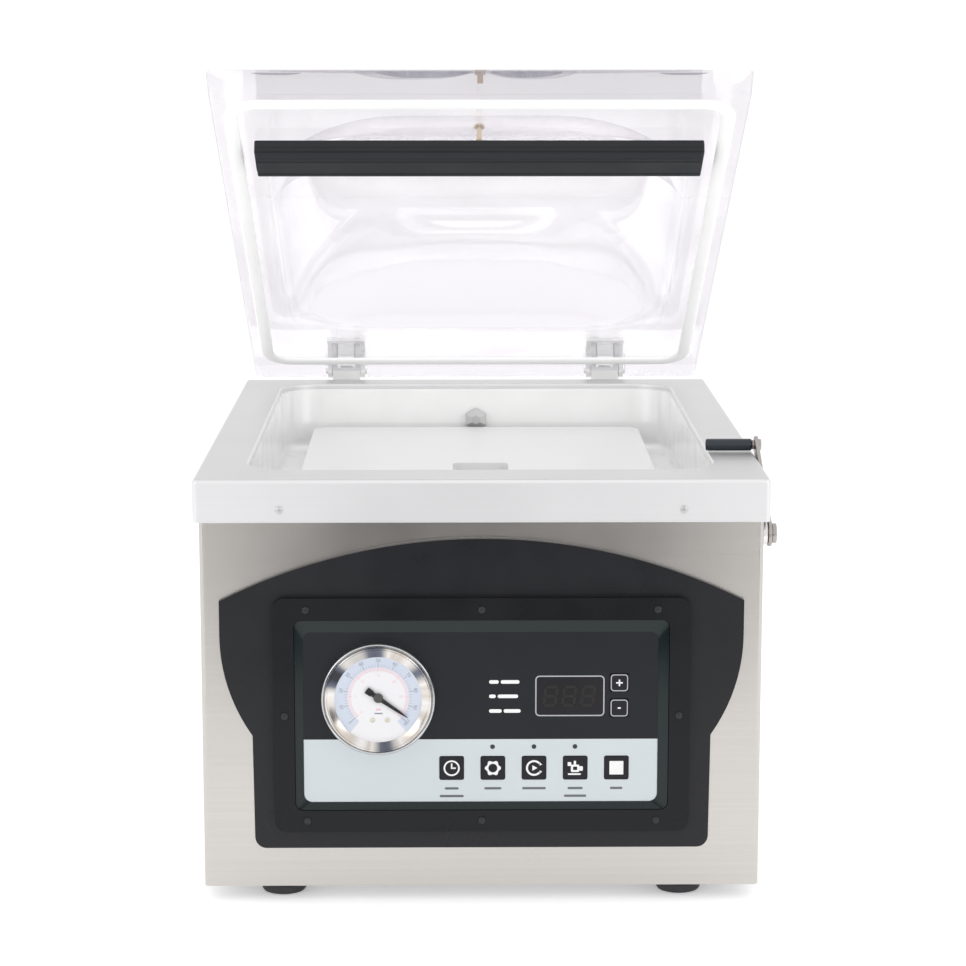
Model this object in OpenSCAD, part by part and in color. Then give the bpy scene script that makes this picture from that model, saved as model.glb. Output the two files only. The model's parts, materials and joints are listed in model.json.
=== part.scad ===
// Table-top chamber vacuum packing machine.
// Millimetres. X is the width, Y runs from the front (negative) to the back, Z is up.
// The origin is the centre of the machine on the plane of the undersides of its feet.
// It is drawn as it rests with the lid up.
// The lid's pieces are laid out closed and then turned about the hinge.

/* [Casing] */
// Width of the deck
deck_w = 345; // [330:1:346]
// Depth of the deck
deck_d = 442; // [440:1:444]
// Height of the deck's top face above the table
deck_top = 262; // [250:1:275]
// Height of the deck's folded skirt
skirt_h = 26; // [20:1:32]
// Thickness of the deck sheet
deck_t = 1.5; // [1.2:0.1:2]
// Thickness of the body sheet
sheet_t = 1.2; // [1:0.1:1.5]
// Height of the body's lower edge above the table
foot_h = 10; // [8:1:14]
// Diameter of a rubber foot
foot_dia = 28; // [24:1:32]

/* [Chamber] */
// Width of the chamber inside
chamber_w = 286; // [280:1:290]
// Length of the chamber inside
chamber_l = 380; // [372:1:384]
// Distance from the deck's front edge to the chamber
chamber_front = 37.4; // [35:0.2:39]
// Depth of the chamber below the deck
chamber_depth = 50; // [45:1:55]
// Radius of the chamber's upright corners
chamber_r = 27; // [20:1:35]
// Height that the seal bar rises
bar_lift = 6; // [4:0.5:6]

/* [Lid] */
// Width of the lid at its underside
lid_w = 331.4; // [325:0.2:334]
// Thickness of the lid's flat rim
lid_t = 17; // [14:0.5:18]
// Angle that the lid stands open
lid_open = 31.2; // [25:0.1:40]
// Height of the dome above the rim
dome_h = 46; // [40:1:60]
// Distance of each hinge from the middle
hinge_x = 97.4; // [80:0.2:110]

/* [Lever] */
// Distance from the lever's pivot to its grip
lever_len = 90; // [85:1:95]
// Angle of the resting lever above level
lever_rest = 27.3; // [27:0.1:32]

/* [Panel] */
// Height of the middle of the control panel
panel_z = 118.6; // [110:0.5:125]
// Width of the raised panel frame
frame_w = 250.6; // [240:1:256]
// Height of the raised panel frame
frame_h = 144.6; // [138:1:150]
// Diameter of the gauge's bezel
gauge_dia = 69; // [66:1:71]

/* [Hidden] */
$fn = 48;

EPS = 0.01;             // overshoot of a cutter past the face it opens
body_w = deck_w - 7;
body_d = deck_d - 6;
body_top = deck_top - deck_t - 0.5;
body_front = -body_d / 2;
deck_front = -deck_d / 2;
skirt_low = deck_top - skirt_h;
steel = "#c9c5bd";
deck_steel = "#dcdcdc";
bright = "#b9bcc0";
black = "#1c1e21";
brass = "#c8a24a";

// Chamber places
chamber_y = deck_front + chamber_front + chamber_l / 2;
chamber_floor = deck_top - chamber_depth;
tub_t = 1.5;
tub_w = chamber_w + 2 * tub_t;
tub_l = chamber_l + 2 * tub_t;
tub_flange = deck_top - deck_t - 0.1;
seal_y = -127.8;
seal_top = 245.6;
seal_l = 268;
seal_w = 14;
piston_r = 4;
piston_x = 100;
fitting_z = 235.5;
spigot_l = 5;
chamber_back = chamber_y + chamber_l / 2;

// Lid places, with the lid closed
hinge_y = 226;
hinge_z = deck_top + 5.5;
lid_low = deck_top + 3;
lid_high = lid_low + lid_t;
lid_front = -199.5;
lid_back = 232;
lid_l = lid_back - lid_front;
notch_y = 219.5;        // front of the notches for the hinges
lid_flare = 2.2;         // how far the rim's upper face reaches beyond its underside
hinge_pin_r = 2.5;
hinge_play = 0.06;
knuckle_r = 5;
web_back = 3.9;         // from the hinge's axis forward to the bracket's web
bar_y = -127.75;
bar_w = 28.5;
bar_l = 283.4;
bar_h = 7.5;
bar_screw_r = 1.75;
leaf_screw_y = 210;
leaf_screw_dx = 8.4;
m5 = 2.5;

// Lever places
lever_y = -200;
lever_z = 225.3;
arm_x = 173;
arm_t = 2.2;
bush_r = 4;
grip_r = 3.8;
grip_left = 142.5;
grip_right = 171.3;
axle_r = 2;
grip_y = lever_y + lever_len * cos(lever_rest);
grip_z = lever_z + lever_len * sin(lever_rest);

// Panel places, as distances in front of or behind the body's front face
fascia_t = 3.3;
fascia_y = body_front - fascia_t;
frame_t = 4.2;
frame_in = 12.6;
overlay_t = 1.6;
overlay_w = frame_w - 2 * frame_in - 0.6;
overlay_h = frame_h - 2 * frame_in - 2;
overlay_y = fascia_y - overlay_t;
window_w = 205;
window_h = 98;
board_y = -213.6;
key_gap = 0.3;
key_w = 14.4;
small_key = 11;
// Each key: place of its middle across and up, and its width
function_keys = [for (i = [0:4]) [-18.2 + i * 24.9, 85.5, key_w]];
step_keys = [[82.8, 138.3, small_key], [82.8, 122.7, small_key]];
all_keys = concat(function_keys, step_keys);
lamp_z = 98.7;
lamps_x = [6.5, 31.5, 56.3];
lamp_r = 1.35;
window_mid = [53, 130.2];
lens_w = 39.6;
lens_h = 23;
gauge_x = -62.2;
gauge_z = 129.8;
needle_rest = -34.7;
gauge_case_r = 30.5;

// Rear places
inlet_x = 112;
inlet_z = 48;
switch_x = 66;
rear_y = body_d / 2 - 0.4;

// Pump places
shaft_y = 70;
shaft_z = 98;
shaft_r = 6;
pump_x = 6;
pump_l = 100;
motor_x = -146;
motor_l = 142;
motor_r = 56;

// A flat rounded rectangle between two corners
module rounded_rect(size, r) {
    x = size[0] / 2 - r;
    y = size[1] / 2 - r;
    square([size[0], size[1] - 2 * r], center = true);
    square([size[0] - 2 * r, size[1]], center = true);
    for (sx = [-1, 1], sy = [-1, 1])
        translate([sx * x, sy * y])
            circle(r);
}

// A rounded slab lying flat, from z = low to z = high
module slab(size, r, low, high) {
    translate([0, 0, low])
        linear_extrude(high - low)
            rounded_rect(size, r);
}

// A shape drawn as seen from the front, and thickened from y = front to y = back
module upright(front, back) {
    translate([0, back, 0])
        rotate([90, 0, 0])
            linear_extrude(back - front)
                children();
}

// A rod along X
module rod_x(x0, x1, y, z, r) {
    translate([x0, y, z])
        rotate([0, 90, 0])
            cylinder(h = x1 - x0, r = r);
}

// A rod along Y
module rod_y(y0, y1, x, z, r) {
    translate([x, y0, z])
        rotate([-90, 0, 0])
            cylinder(h = y1 - y0, r = r);
}

// A block between two corners
module block(a, b) {
    translate(a)
        cube(b - a);
}

// Turns what is laid out with the lid closed to where the open lid holds it
module on_open_lid() {
    translate([0, hinge_y, hinge_z])
        rotate([-lid_open, 0, 0])
            translate([0, -hinge_y, -hinge_z])
                children();
}

// A cross-head screw along -Y, with its head's underside at y = face
module front_screw(x, z, face, head_r, head_h, shank_r, shank_l) {
    difference() {
        union() {
            rod_y(face - head_h, face, x, z, head_r);
            rod_y(face - EPS, face + shank_l, x, z, shank_r);
        }
        for (a = [0, 90])
            translate([x, face - head_h, z])
                rotate([0, a, 0])
                    cube([head_r * 1.3, head_h, head_r * 0.28], center = true);
    }
}

// ---------- casing ----------

module housing_wrap() {
    color(steel)
    difference() {
        slab([body_w, body_d], 3, foot_h, body_top);
        slab([body_w - 2 * sheet_t, body_d - 2 * sheet_t], 2, foot_h - 1, body_top + 1);
        block([-body_w / 2 + sheet_t, 0, foot_h - 1], [body_w / 2 - sheet_t, body_d, body_top + 1]);
        upright(body_front - 1, body_front + 3)
            translate([0, panel_z])
                square([window_w, window_h], center = true);
        for (p = frame_screws())
            rod_y(body_front - 1, body_front + 3, p[0], p[1], 1.3);
        rod_x(body_w / 2 - 3, body_w / 2 + 1, lever_y, lever_z, 3.1);
    }
}

module base_plate() {
    w = body_w - 2 * sheet_t - 0.8;
    d = body_d - 2 * sheet_t - 3;
    color(steel)
    difference() {
        slab([w, d], 2, foot_h + 0.3, foot_h + 14);
        slab([w - 3, d - 3], 1, foot_h + 1.8, foot_h + 15);
        for (p = foot_places())
            translate([p[0], p[1], 0])
                cylinder(h = 30, r = 2.6);
    }
}

module rear_cover() {
    w = body_w - 2 * sheet_t - 0.4;
    color(steel)
    difference() {
        upright(rear_y - sheet_t, rear_y)
            translate([-w / 2, foot_h])
                square([w, skirt_low + 6 - foot_h]);
        for (row = [0:6], side = [-1, 1])
            upright(rear_y - 5, rear_y + 1)
                translate([side * 92, 120 + row * 12])
                    rounded_rect([72, 4.5], 2);
        rod_y(rear_y - 5, rear_y + 1, switch_x, inlet_z, 10.2);
        upright(rear_y - 5, rear_y + 1)
            translate([inlet_x, inlet_z])
                rounded_rect([27.6, 20.6], 3);
        for (p = rear_screws())
            rod_y(rear_y - 5, rear_y + 1, p[0], p[1], 2.1);
    }
}

function rear_screws() = [for (x = [-157, 157], z = [30, 118, 206]) [x, z]];
function foot_places() = [for (x = [-122, 122], y = [-193, 193]) [x, y]];
function frame_screws() = concat([for (x = [-105.4, 0, 105.4], z = [-65.3, 65.3]) [x, panel_z + z]],
    [for (x = [-118.6, 118.6]) [x, panel_z]]);

// The screws of the rear cover, the two in the skirt's front, and the hinge brackets' four
module case_screws() {
    color(bright) {
        for (p = rear_screws())
            translate([p[0], rear_y, p[1]])
                rotate([0, 0, 180])
                    front_screw(0, 0, 0, 3.6, 2, 2, 6);
        for (x = deck_screw_x())
            front_screw(x, deck_screw_z, deck_front, 2.3, 1.1, 1.5, 1.9);
        for (x = bracket_screw_x())
            translate([x, deck_d / 2 + bracket_t, bracket_screw_z])
                rotate([0, 0, 180])
                    front_screw(0, 0, 0, 2.3, 1.1, 1.5, bracket_t + 1.9);
    }
}

module rubber_feet() {
    color(black)
    for (p = foot_places())
        translate([p[0], p[1], 0])
            difference() {
                union() {
                    cylinder(h = 2.5, r1 = foot_dia / 2 - 2, r2 = foot_dia / 2);
                    translate([0, 0, 2.5])
                        cylinder(h = foot_h + 0.3 - 2.5, r = foot_dia / 2);
                }
                translate([0, 0, 3])
                    cylinder(h = foot_h, r = 2.6);
                translate([0, 0, -1])
                    cylinder(h = 4, r = 5);
            }
}

module deck_top_sheet() {
    color(deck_steel)
    difference() {
        slab([deck_w, deck_d], 2.5, skirt_low, deck_top);
        slab([deck_w - 2 * deck_t, deck_d - 2 * deck_t], 1, skirt_low - 1, deck_top - deck_t);
        translate([0, chamber_y, 0])
            slab([tub_w + 0.2, tub_l + 0.2], chamber_r + tub_t, skirt_low, deck_top + 1);
        for (x = deck_screw_x())
            rod_y(deck_front - 1, deck_front + 3, x, deck_screw_z, 1.6);
        for (x = bracket_screw_x())
            rod_y(deck_d / 2 - 3, deck_d / 2 + 1, x, bracket_screw_z, 1.6);
    }
}

deck_screw_z = 243.8;
bracket_t = 2.5;
bracket_screw_z = skirt_low + 9;
function deck_screw_x() = [-120.6, 120.6];
function bracket_screw_x() = [for (side = [-1, 1], dx = [-9, 9]) side * hinge_x + dx];

// The same screws hold the skirt in front and the hinge brackets behind

// ---------- chamber ----------

module chamber_tub() {
    color(deck_steel)
    difference() {
        translate([0, chamber_y, 0]) {
            slab([tub_w, tub_l], chamber_r + tub_t, chamber_floor - tub_t, deck_top);
            slab([chamber_w + 16, chamber_l + 16], chamber_r + 8, tub_flange - 1.5, tub_flange);
        }
        translate([0, chamber_y, 0])
            slab([chamber_w, chamber_l], chamber_r, chamber_floor, deck_top + 1);
        rod_y(chamber_back - 1, chamber_back + 3, 0, fitting_z, 6);
    }
}

module suction_fitting() {
    color(bright)
    difference() {
        union() {
            translate([0, chamber_back, fitting_z])
                rotate([90, 0, 0])
                    rotate([0, 0, 30])
                        cylinder(h = 6, r = 8.7, $fn = 6);
            rod_y(chamber_back - EPS, chamber_back + spigot_l, 0, fitting_z, 5.9);
        }
        rod_y(chamber_back - 4, chamber_back + spigot_l + 1, 0, fitting_z, 3);
        for (a = [0, 90])
            translate([0, chamber_back - 3.5, fitting_z])
                rotate([0, a, 0])
                    cylinder(h = 30, r = 1.5, center = true);
    }
}

module filler_plate() {
    front = -98;
    back = 186;
    color("#eef0ee")
    difference() {
        translate([0, (front + back) / 2, 0])
            slab([240, back - front], 10, chamber_floor, 231);
        translate([1.5, 11, 0])
            slab([37, 31], 4, 200, 240);
    }
}

module lift_cylinders() {
    color(bright)
    for (x = [-piston_x, piston_x])
        translate([x, seal_y, chamber_floor])
            difference() {
                union() {
                    cylinder(h = 9.5, r = 13);
                    cylinder(h = 11, r = 8);
                }
                translate([0, 0, 1.5])
                    cylinder(h = 12, r = piston_r + 0.05);
            }
}

module seal_bar() {
    low = 226;
    color("#c4c7ca") {
        difference() {
            block([-seal_l / 2, seal_y - seal_w / 2, low], [seal_l / 2, seal_y + seal_w / 2, seal_top]);
            block([-seal_l / 2 - 1, seal_y - 4, low - 1], [seal_l / 2 + 1, seal_y + 4, low + 6]);
        }
        for (x = [-piston_x, piston_x])
            translate([x, seal_y, chamber_floor + 2])
                cylinder(h = low + 8 - chamber_floor - 2, r = piston_r);
    }
}

module heating_wire() {
    color("#8f8f8f")
    for (y = [-1.8, 2.6])
        translate([0, seal_y + y, seal_top])
            block([-seal_l / 2 + 2, -1.4, 0], [seal_l / 2 - 2, 1.4, 0.4]);
}

module seal_tape() {
    half = seal_w / 2;
    out = half + 0.35;
    color("#a5774d")
    translate([0, seal_y, seal_top])
        difference() {
            block([-seal_l / 2, -out, -9], [seal_l / 2, out, 0.75]);
            block([-seal_l / 2 - 1, -half, -10], [seal_l / 2 + 1, half, 0.4]);
        }
}

// ---------- lid ----------

// One level of the dome: a rounded rectangle about the dome's middle
module dome_level(half_w, half_l, r, z) {
    translate([0, 34, z])
        linear_extrude(0.5)
            rounded_rect([2 * half_w, 2 * half_l], r, $fn = 32);
}

// The dome's bulging form, grown outwards by wall
module dome_form(wall, low) {
    top = lid_high + dome_h - 10.5 + wall;
    hull() {
        dome_level(132 + wall, 140 + wall, 58 + wall, low);
        dome_level(122 + wall, 130 + wall, 56 + wall, lid_high + 8);
        dome_level(104 + wall, 112 + wall, 54 + wall, top - 12);
        dome_level(80 + wall, 88 + wall, 50 + wall, top - 2);
        dome_level(60 + wall, 68 + wall, 45 + wall, top);
    }
}

module gasket_ring(low, high) {
    mid = (-193.3 + 204.3) / 2;
    len = 204.3 + 193.3;
    translate([0, mid, 0])
        difference() {
            slab([317.4, len], 22, low, high);
            slab([299.4, len - 18], 13, low - 1, high + 1);
        }
}

module lid_shell() {
    wall = 10;
    color("#e8eef2", 0.45)
    on_open_lid()
        difference() {
            union() {
                hull() {
                    translate([0, (lid_front + lid_back) / 2, 0])
                        slab([lid_w, lid_l], 6, lid_low, lid_low + 0.5);
                    translate([0, (lid_front - lid_flare + lid_back) / 2, 0])
                        slab([lid_w + 2 * lid_flare, lid_l + lid_flare], 6, lid_high - 0.5, lid_high);
                }
                dome_form(wall, lid_high - 1);
            }
            dome_form(0, lid_low - 1);
            gasket_ring(lid_low - 1, lid_low + 2);
            for (side = [-1, 1]) {
                translate([side * hinge_x, 0, 0])
                    block([-15.5, notch_y, lid_low - 1], [15.5, lid_back + 1, lid_high + 1]);
                for (dx = [-leaf_screw_dx, leaf_screw_dx])
                    translate([side * hinge_x + dx, leaf_screw_y, lid_low + 1.4])
                        cylinder(h = lid_t, r = m5);
            }
            translate([0, bar_y, lid_low - 1])
                cylinder(h = lid_t + 2, r = bar_screw_r);
        }
}

module lid_gasket() {
    color("#f4f5f3")
    on_open_lid()
        gasket_ring(deck_top + 0.35, lid_low + 2);
}

module counter_bar() {
    color(black)
    on_open_lid()
        difference() {
            translate([0, bar_y, lid_low])
                block([-bar_l / 2, -bar_w / 2, -bar_h], [bar_l / 2, bar_w / 2, 0]);
            translate([0, bar_y, lid_low - 5])
                cylinder(h = 6, r = bar_screw_r + 0.05);
        }
}

module counter_pad() {
    color("#26282b")
    on_open_lid()
        translate([0, bar_y, lid_low])
            block([-bar_l / 2 + 1, -bar_w / 2 + 1.5, -12.1], [bar_l / 2 - 1, bar_w / 2 - 1.5, -bar_h]);
}

// A cap screw standing on z = face, with its shank down to z = tip
module lid_screw(x, y, face, tip) {
    translate([x, y, 0])
        difference() {
            union() {
                translate([0, 0, tip])
                    cylinder(h = face - tip + EPS, r = m5);
                translate([0, 0, face])
                    cylinder(h = 3, r = 4.4);
            }
            translate([0, 0, face + 1])
                cylinder(h = 3, r = 2.3, $fn = 6);
        }
}

// The hinge leaves' four screws and the one that holds the counter bar
module lid_screws() {
    leaf_top = lid_high + 2.5;
    color(bright)
    on_open_lid() {
        for (side = [-1, 1], dx = [-leaf_screw_dx, leaf_screw_dx])
            lid_screw(side * hinge_x + dx, leaf_screw_y, leaf_top, lid_low + 1.4);
        bar_screw();
    }
}

module bar_screw() {
    translate([0, bar_y, 0])
        difference() {
            union() {
                translate([0, 0, lid_low - 4.8])
                    cylinder(h = lid_t + 4.8 + EPS, r = bar_screw_r);
                translate([0, 0, lid_high])
                    cylinder(h = 2.4, r1 = 3.6, r2 = 2.8);
            }
            translate([0, 0, lid_high + 1.9])
                cube([10, 0.9, 1.8], center = true);
        }
}

module hinge_leaves() {
    color(bright)
    on_open_lid()
        for (side = [-1, 1])
            translate([side * hinge_x, 0, 0])
                difference() {
                    union() {
                        block([-14, 203, lid_high], [14, hinge_y + knuckle_r, lid_high + 2.5]);
                        for (ear = [-14, 10.6]) {
                            rod_x(ear, ear + 3.4, hinge_y, hinge_z, knuckle_r);
                            translate([ear, hinge_y, 0])
                                block([0, -knuckle_r, hinge_z], [3.4, knuckle_r, lid_high + 1]);
                        }
                    }
                    rod_x(-20, 20, hinge_y, hinge_z, hinge_pin_r + hinge_play);
                    for (dx = [-leaf_screw_dx, leaf_screw_dx])
                        translate([dx, leaf_screw_y, lid_high - 1])
                            cylinder(h = 5, r = m5);
                }
}

module hinge_brackets() {
    plate_y = deck_d / 2;
    color(bright)
    for (side = [-1, 1])
        translate([side * hinge_x, 0, 0])
            difference() {
                union() {
                    block([-14, plate_y, skirt_low + 1], [14, plate_y + bracket_t, deck_top - 1.6]);
                    for (lug = [-10.2, 6.4]) {
                        rod_x(lug, lug + 3.8, hinge_y, hinge_z, knuckle_r);
                        block([lug, hinge_y - knuckle_r, deck_top - 8], [lug + 3.8, hinge_y, hinge_z]);
                    }
                    translate([0, hinge_y, 0])
                        block([-10.2, -knuckle_r, deck_top - 8], [10.2, -web_back, hinge_z + 3.4]);
                }
                rod_x(-20, 20, hinge_y, hinge_z, hinge_pin_r);
                for (dx = [-9, 9])
                    rod_y(plate_y - 1, plate_y + 4, dx, bracket_screw_z, 1.6);
            }
}

module hinge_pins() {
    color("#8d9094")
    for (side = [-1, 1])
        rod_x(side * hinge_x - 15.4, side * hinge_x + 15.4, hinge_y, hinge_z, hinge_pin_r);
}

// Torsion springs, drawn as the sleeve that their turns fill, each with a straight leg against its bracket
module hinge_springs() {
    color("#777a7e")
    for (side = [-1, 1])
        difference() {
            union() {
                rod_x(side * hinge_x - 5.8, side * hinge_x + 5.8, hinge_y, hinge_z, 3.7);
                translate([side * hinge_x + 5, hinge_y - 1.6, skirt_low + 12])
                    cylinder(h = hinge_z - skirt_low - 14, r = 0.7);
            }
            rod_x(side * hinge_x - 7, side * hinge_x + 7, hinge_y, hinge_z, 2.9);
        }
}

// ---------- lever ----------

module lever_bush() {
    color(bright)
    difference() {
        rod_x(body_w / 2, arm_x - 0.3, lever_y, lever_z, 7);
        rod_x(body_w / 2 - 1, arm_x + 1, lever_y, lever_z, bush_r);
    }
}

module lever_bolt() {
    color(bright)
    difference() {
        union() {
            rod_x(body_w / 2, arm_x + arm_t + 0.3, lever_y, lever_z, bush_r);
            rod_x(body_w / 2 - 14, body_w / 2, lever_y, lever_z, 3);
            rod_x(arm_x + arm_t + 0.3, arm_x + arm_t + 3, lever_y, lever_z, 6);
            translate([body_w / 2 - sheet_t - 5, lever_y, lever_z])
                rotate([0, 90, 0])
                    cylinder(h = 5, r = 5.8, $fn = 6);
        }
        translate([arm_x + arm_t + 1.5, lever_y, lever_z])
            rotate([0, 90, 0])
                cylinder(h = 5, r = 2.9, $fn = 6);
    }
}

module lever_arm() {
    color(bright)
    translate([arm_x, lever_y, lever_z])
        rotate([lever_rest, 0, 0])
            rotate([90, 0, 90])
                difference() {
                    union() {
                        cylinder(h = arm_t, r = 8);
                        translate([lever_len, 0, 0])
                            cylinder(h = arm_t, r = 5.5);
                        linear_extrude(arm_t)
                            polygon([[0, -7.6], [lever_len, -5.2], [lever_len, 5.2], [0, 7.6]]);
                    }
                    translate([0, 0, -1])
                        cylinder(h = arm_t + 2, r = bush_r + 0.06);
                    translate([lever_len, 0, -1])
                        cylinder(h = arm_t + 2, r = axle_r + 0.04);
                }
}

module grip_axle() {
    color(bright) {
        rod_x(grip_left + 0.6, arm_x + arm_t + 0.5, grip_y, grip_z, axle_r);
        rod_x(arm_x + arm_t, arm_x + arm_t + 2, grip_y, grip_z, 3.6);
        rod_x(grip_right + 0.3, arm_x, grip_y, grip_z, 3);
        rod_x(grip_left + 0.6, grip_left + 2, grip_y, grip_z, 2.9);
    }
}

module lever_grip() {
    color(black)
    difference() {
        rod_x(grip_left, grip_right, grip_y, grip_z, grip_r);
        rod_x(grip_left - 1, grip_right + 1, grip_y, grip_z, axle_r + 0.06);
        rod_x(grip_left - 1, grip_left + 2.3, grip_y, grip_z, 3.1);
    }
}

// ---------- control panel ----------

fascia_half = 157.4;
fascia_low_half = 137.6;
fascia_low = 35;
fascia_top = 226.3;
fascia_shoulder = 188.5;
fascia_break = 105.4;
arch_rise = fascia_top - fascia_shoulder;
arch_r = (pow(fascia_half, 2) + pow(arch_rise, 2)) / (2 * arch_rise);
side_drop = 167 - fascia_break;
side_in = fascia_half - fascia_low_half - 0.7;
side_r = (pow(side_in, 2) + pow(side_drop, 2)) / (2 * side_in);

function arc(cx, cz, r, a0, a1, n) = [
    for (i = [0:n])
        let (a = a0 + (a1 - a0) * i / n)
        [cx + r * cos(a), cz + r * sin(a)]
];

// Half of the fascia's outline, from the middle of the arch round to the middle of its foot
function fascia_side() = let (
    arch = asin(fascia_half / arch_r),
    sweep = asin(side_drop / side_r)
) concat(
    arc(0, fascia_top - arch_r, arch_r, 90, 90 - arch, 16),
    arc(fascia_half - side_r, 167, side_r, 0, -sweep, 10),
    arc(fascia_low_half - 7, fascia_low + 7, 7, 0, -90, 6)
);

module fascia_outline() {
    right = fascia_side();
    left = [for (i = [len(right) - 1:-1:0]) [-right[i][0], right[i][1]]];
    polygon(concat(right, left));
}

module fascia() {
    color(black)
    difference() {
        upright(fascia_y, body_front)
            fascia_outline();
        upright(fascia_y - 1, body_front + 1)
            translate([0, panel_z])
                square([window_w, window_h], center = true);
        for (p = frame_screws())
            rod_y(fascia_y - 1, body_front + 1, p[0], p[1], 1.3);
    }
}

module panel_frame() {
    color("#17181b")
    difference() {
        upright(fascia_y - frame_t, fascia_y)
            translate([0, panel_z])
                rounded_rect([frame_w, frame_h], 7);
        upright(fascia_y - frame_t - 1, fascia_y + 1)
            translate([0, panel_z])
                rounded_rect([frame_w - 2 * frame_in, frame_h - 2 * frame_in - 1.4], 5);
        for (p = frame_screws())
            rod_y(fascia_y - frame_t - 1, fascia_y + 1, p[0], p[1], 1.3);
    }
}

module panel_screws() {
    color("#2b2d30")
    for (p = frame_screws())
        front_screw(p[0], p[1], fascia_y - frame_t, 2.2, 1.1, 1.25, frame_t + fascia_t + 4);
}

module overlay_sheet() {
    color("#22262a")
    difference() {
        upright(overlay_y, fascia_y)
            translate([0, panel_z - 0.2])
                rounded_rect([overlay_w, overlay_h], 4.5);
        for (k = all_keys)
            upright(overlay_y - 1, fascia_y + 1)
                translate([k[0], k[1]])
                    rounded_rect([k[2] + 2 * key_gap, k[2] + 2 * key_gap], 1.3);
        upright(overlay_y - 1, fascia_y + 1)
            translate(window_mid)
                square([lens_w + 0.3, lens_h + 0.3], center = true);
        for (x = lamps_x)
            rod_y(overlay_y - 1, fascia_y + 1, x, lamp_z, lamp_r + 0.1);
        rod_y(overlay_y - 1, fascia_y + 1, gauge_x, gauge_z, gauge_case_r + 0.3);
    }
}

module display_window() {
    color("#101214")
    upright(overlay_y, fascia_y)
        translate(window_mid)
            square([lens_w, lens_h], center = true);
}

// The three-digit display: a black block whose segments stand a little proud, each a bar of a figure eight
module display_module() {
    digit_w = 9.4;
    digit_h = 13;
    bar = 1.3;
    color("#0d0e10")
    upright(fascia_y + 1, board_y)
        translate(window_mid)
            square([38, 20.6], center = true);
    color("#3a1512")
    upright(fascia_y + 0.4, fascia_y + 1 + EPS)
        for (i = [-1:1])
            translate([window_mid[0] + i * 11.5, window_mid[1]]) {
                for (z = [-1:1])
                    translate([0, z * (digit_h - bar) / 2])
                        square([digit_w - 2 * bar - 0.6, bar], center = true);
                for (x = [-1, 1], z = [-1, 1])
                    translate([x * (digit_w - bar) / 2, z * (digit_h - bar) / 4])
                        square([bar, (digit_h - bar) / 2 - bar / 2 - 0.4], center = true);
            }
}

module status_lamps() {
    color("#3c4a3e")
    for (x = lamps_x)
        rod_y(overlay_y - 0.2, board_y, x, lamp_z, lamp_r);
}

module control_board() {
    thick = 1.6;
    color("#1f5b3a") {
        upright(board_y, board_y + thick)
            translate([35, 118])
                square([126, 94], center = true);
        for (k = all_keys)
            block([k[0] - 3, board_y - 3.6, k[1] - 3], [k[0] + 3, board_y + EPS, k[1] + 3]);
        block([60, board_y + thick - EPS, 90], [86, board_y + 12, 104]);
        block([-20, board_y + thick - EPS, 100], [4, board_y + 15, 130]);
    }
}

// A key: its cap, and the stem behind it that presses a switch on the board
module key(place) {
    front = overlay_y - 0.6;
    upright(front, fascia_y + 0.2)
        translate([place[0], place[1]])
            rounded_rect([place[2], place[2]], 1);
    rod_y(fascia_y, board_y - 4.2, place[0], place[1], 2);
}

key_black = "#202226";
module key_time() {
    color(key_black)
        key(function_keys[0]);
}

module key_preset() {
    color(key_black)
        key(function_keys[1]);
}

module key_marinate() {
    color(key_black)
        key(function_keys[2]);
}

module key_pump() {
    color(key_black)
        key(function_keys[3]);
}

module key_stop() {
    color(key_black)
        key(function_keys[4]);
}

module key_plus() {
    color(key_black)
        key(step_keys[0]);
}

module key_minus() {
    color(key_black)
        key(step_keys[1]);
}

// ---------- gauge ----------

// Lays a gauge piece, drawn facing +Z with z = 0 on the overlay, onto the panel
module on_panel() {
    translate([gauge_x, overlay_y, gauge_z])
        rotate([90, 0, 0])
            children();
}

module gauge_case() {
    color("#7d8084")
    on_panel()
        difference() {
            union() {
                translate([0, 0, -32])
                    cylinder(h = 36, r = gauge_case_r);
                cylinder(h = 1.5, r = 32.5);
            }
            translate([0, 0, -30])
                cylinder(h = 40, r = 29);
            translate([0, 0, -40])
                cylinder(h = 20, r = 7.2);
        }
}

module gauge_bezel() {
    out = gauge_dia / 2;
    lip = 26.4;
    color("#d9dbde")
    on_panel()
        rotate_extrude()
            polygon(concat(
                [[out - 1.7, 0.1], [out, 0.1], [out, 6]],
                [for (i = [0:6]) [out - 2.5 + 2.5 * cos(i * 15), 6 + 3 * sin(i * 15)]],
                [[out - 4.2, 8.2], [lip + 1.6, 8.2], [lip, 7.2], [lip, 7], [out - 1.7, 7]]
            ));
}

module gauge_glass() {
    color("#f2f6f8", 0.3)
    on_panel()
        translate([0, 0, 5.2])
            cylinder(h = 1.7, r = 32);
}

module gauge_dial() {
    color("#f3f3f1")
    on_panel()
        difference() {
            translate([0, 0, 0.5])
                cylinder(h = 0.8, r = 28.6);
            cylinder(h = 3, r = 2.6);
        }
}

module gauge_movement() {
    color(brass)
    on_panel()
        difference() {
            union() {
                translate([-10, -12, -16])
                    cube([20, 24, 11]);
                translate([0, 0, -6])
                    cylinder(h = 6.4, r = 2.4);
                translate([0, 0, -40])
                    cylinder(h = 25, r = 7);
                translate([0, 0, -52])
                    cylinder(h = 13, r = 4.5);
                for (z = [-50, -46, -42])
                    translate([0, 0, z])
                        cylinder(h = 3, r1 = 4.4, r2 = 5.4);
                translate([0, 0, -12])
                    rotate([0, 0, 100])
                        rotate_extrude(angle = 250)
                            translate([20, 0])
                                square([3, 7], center = true);
                translate([-21, -5, -15])
                    cube([14, 6, 6]);
            }
            translate([0, 0, -13])
                cylinder(h = 20, r = 1.05);
            translate([0, 0, -60])
                cylinder(h = 45, r = 2);
        }
}

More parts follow.
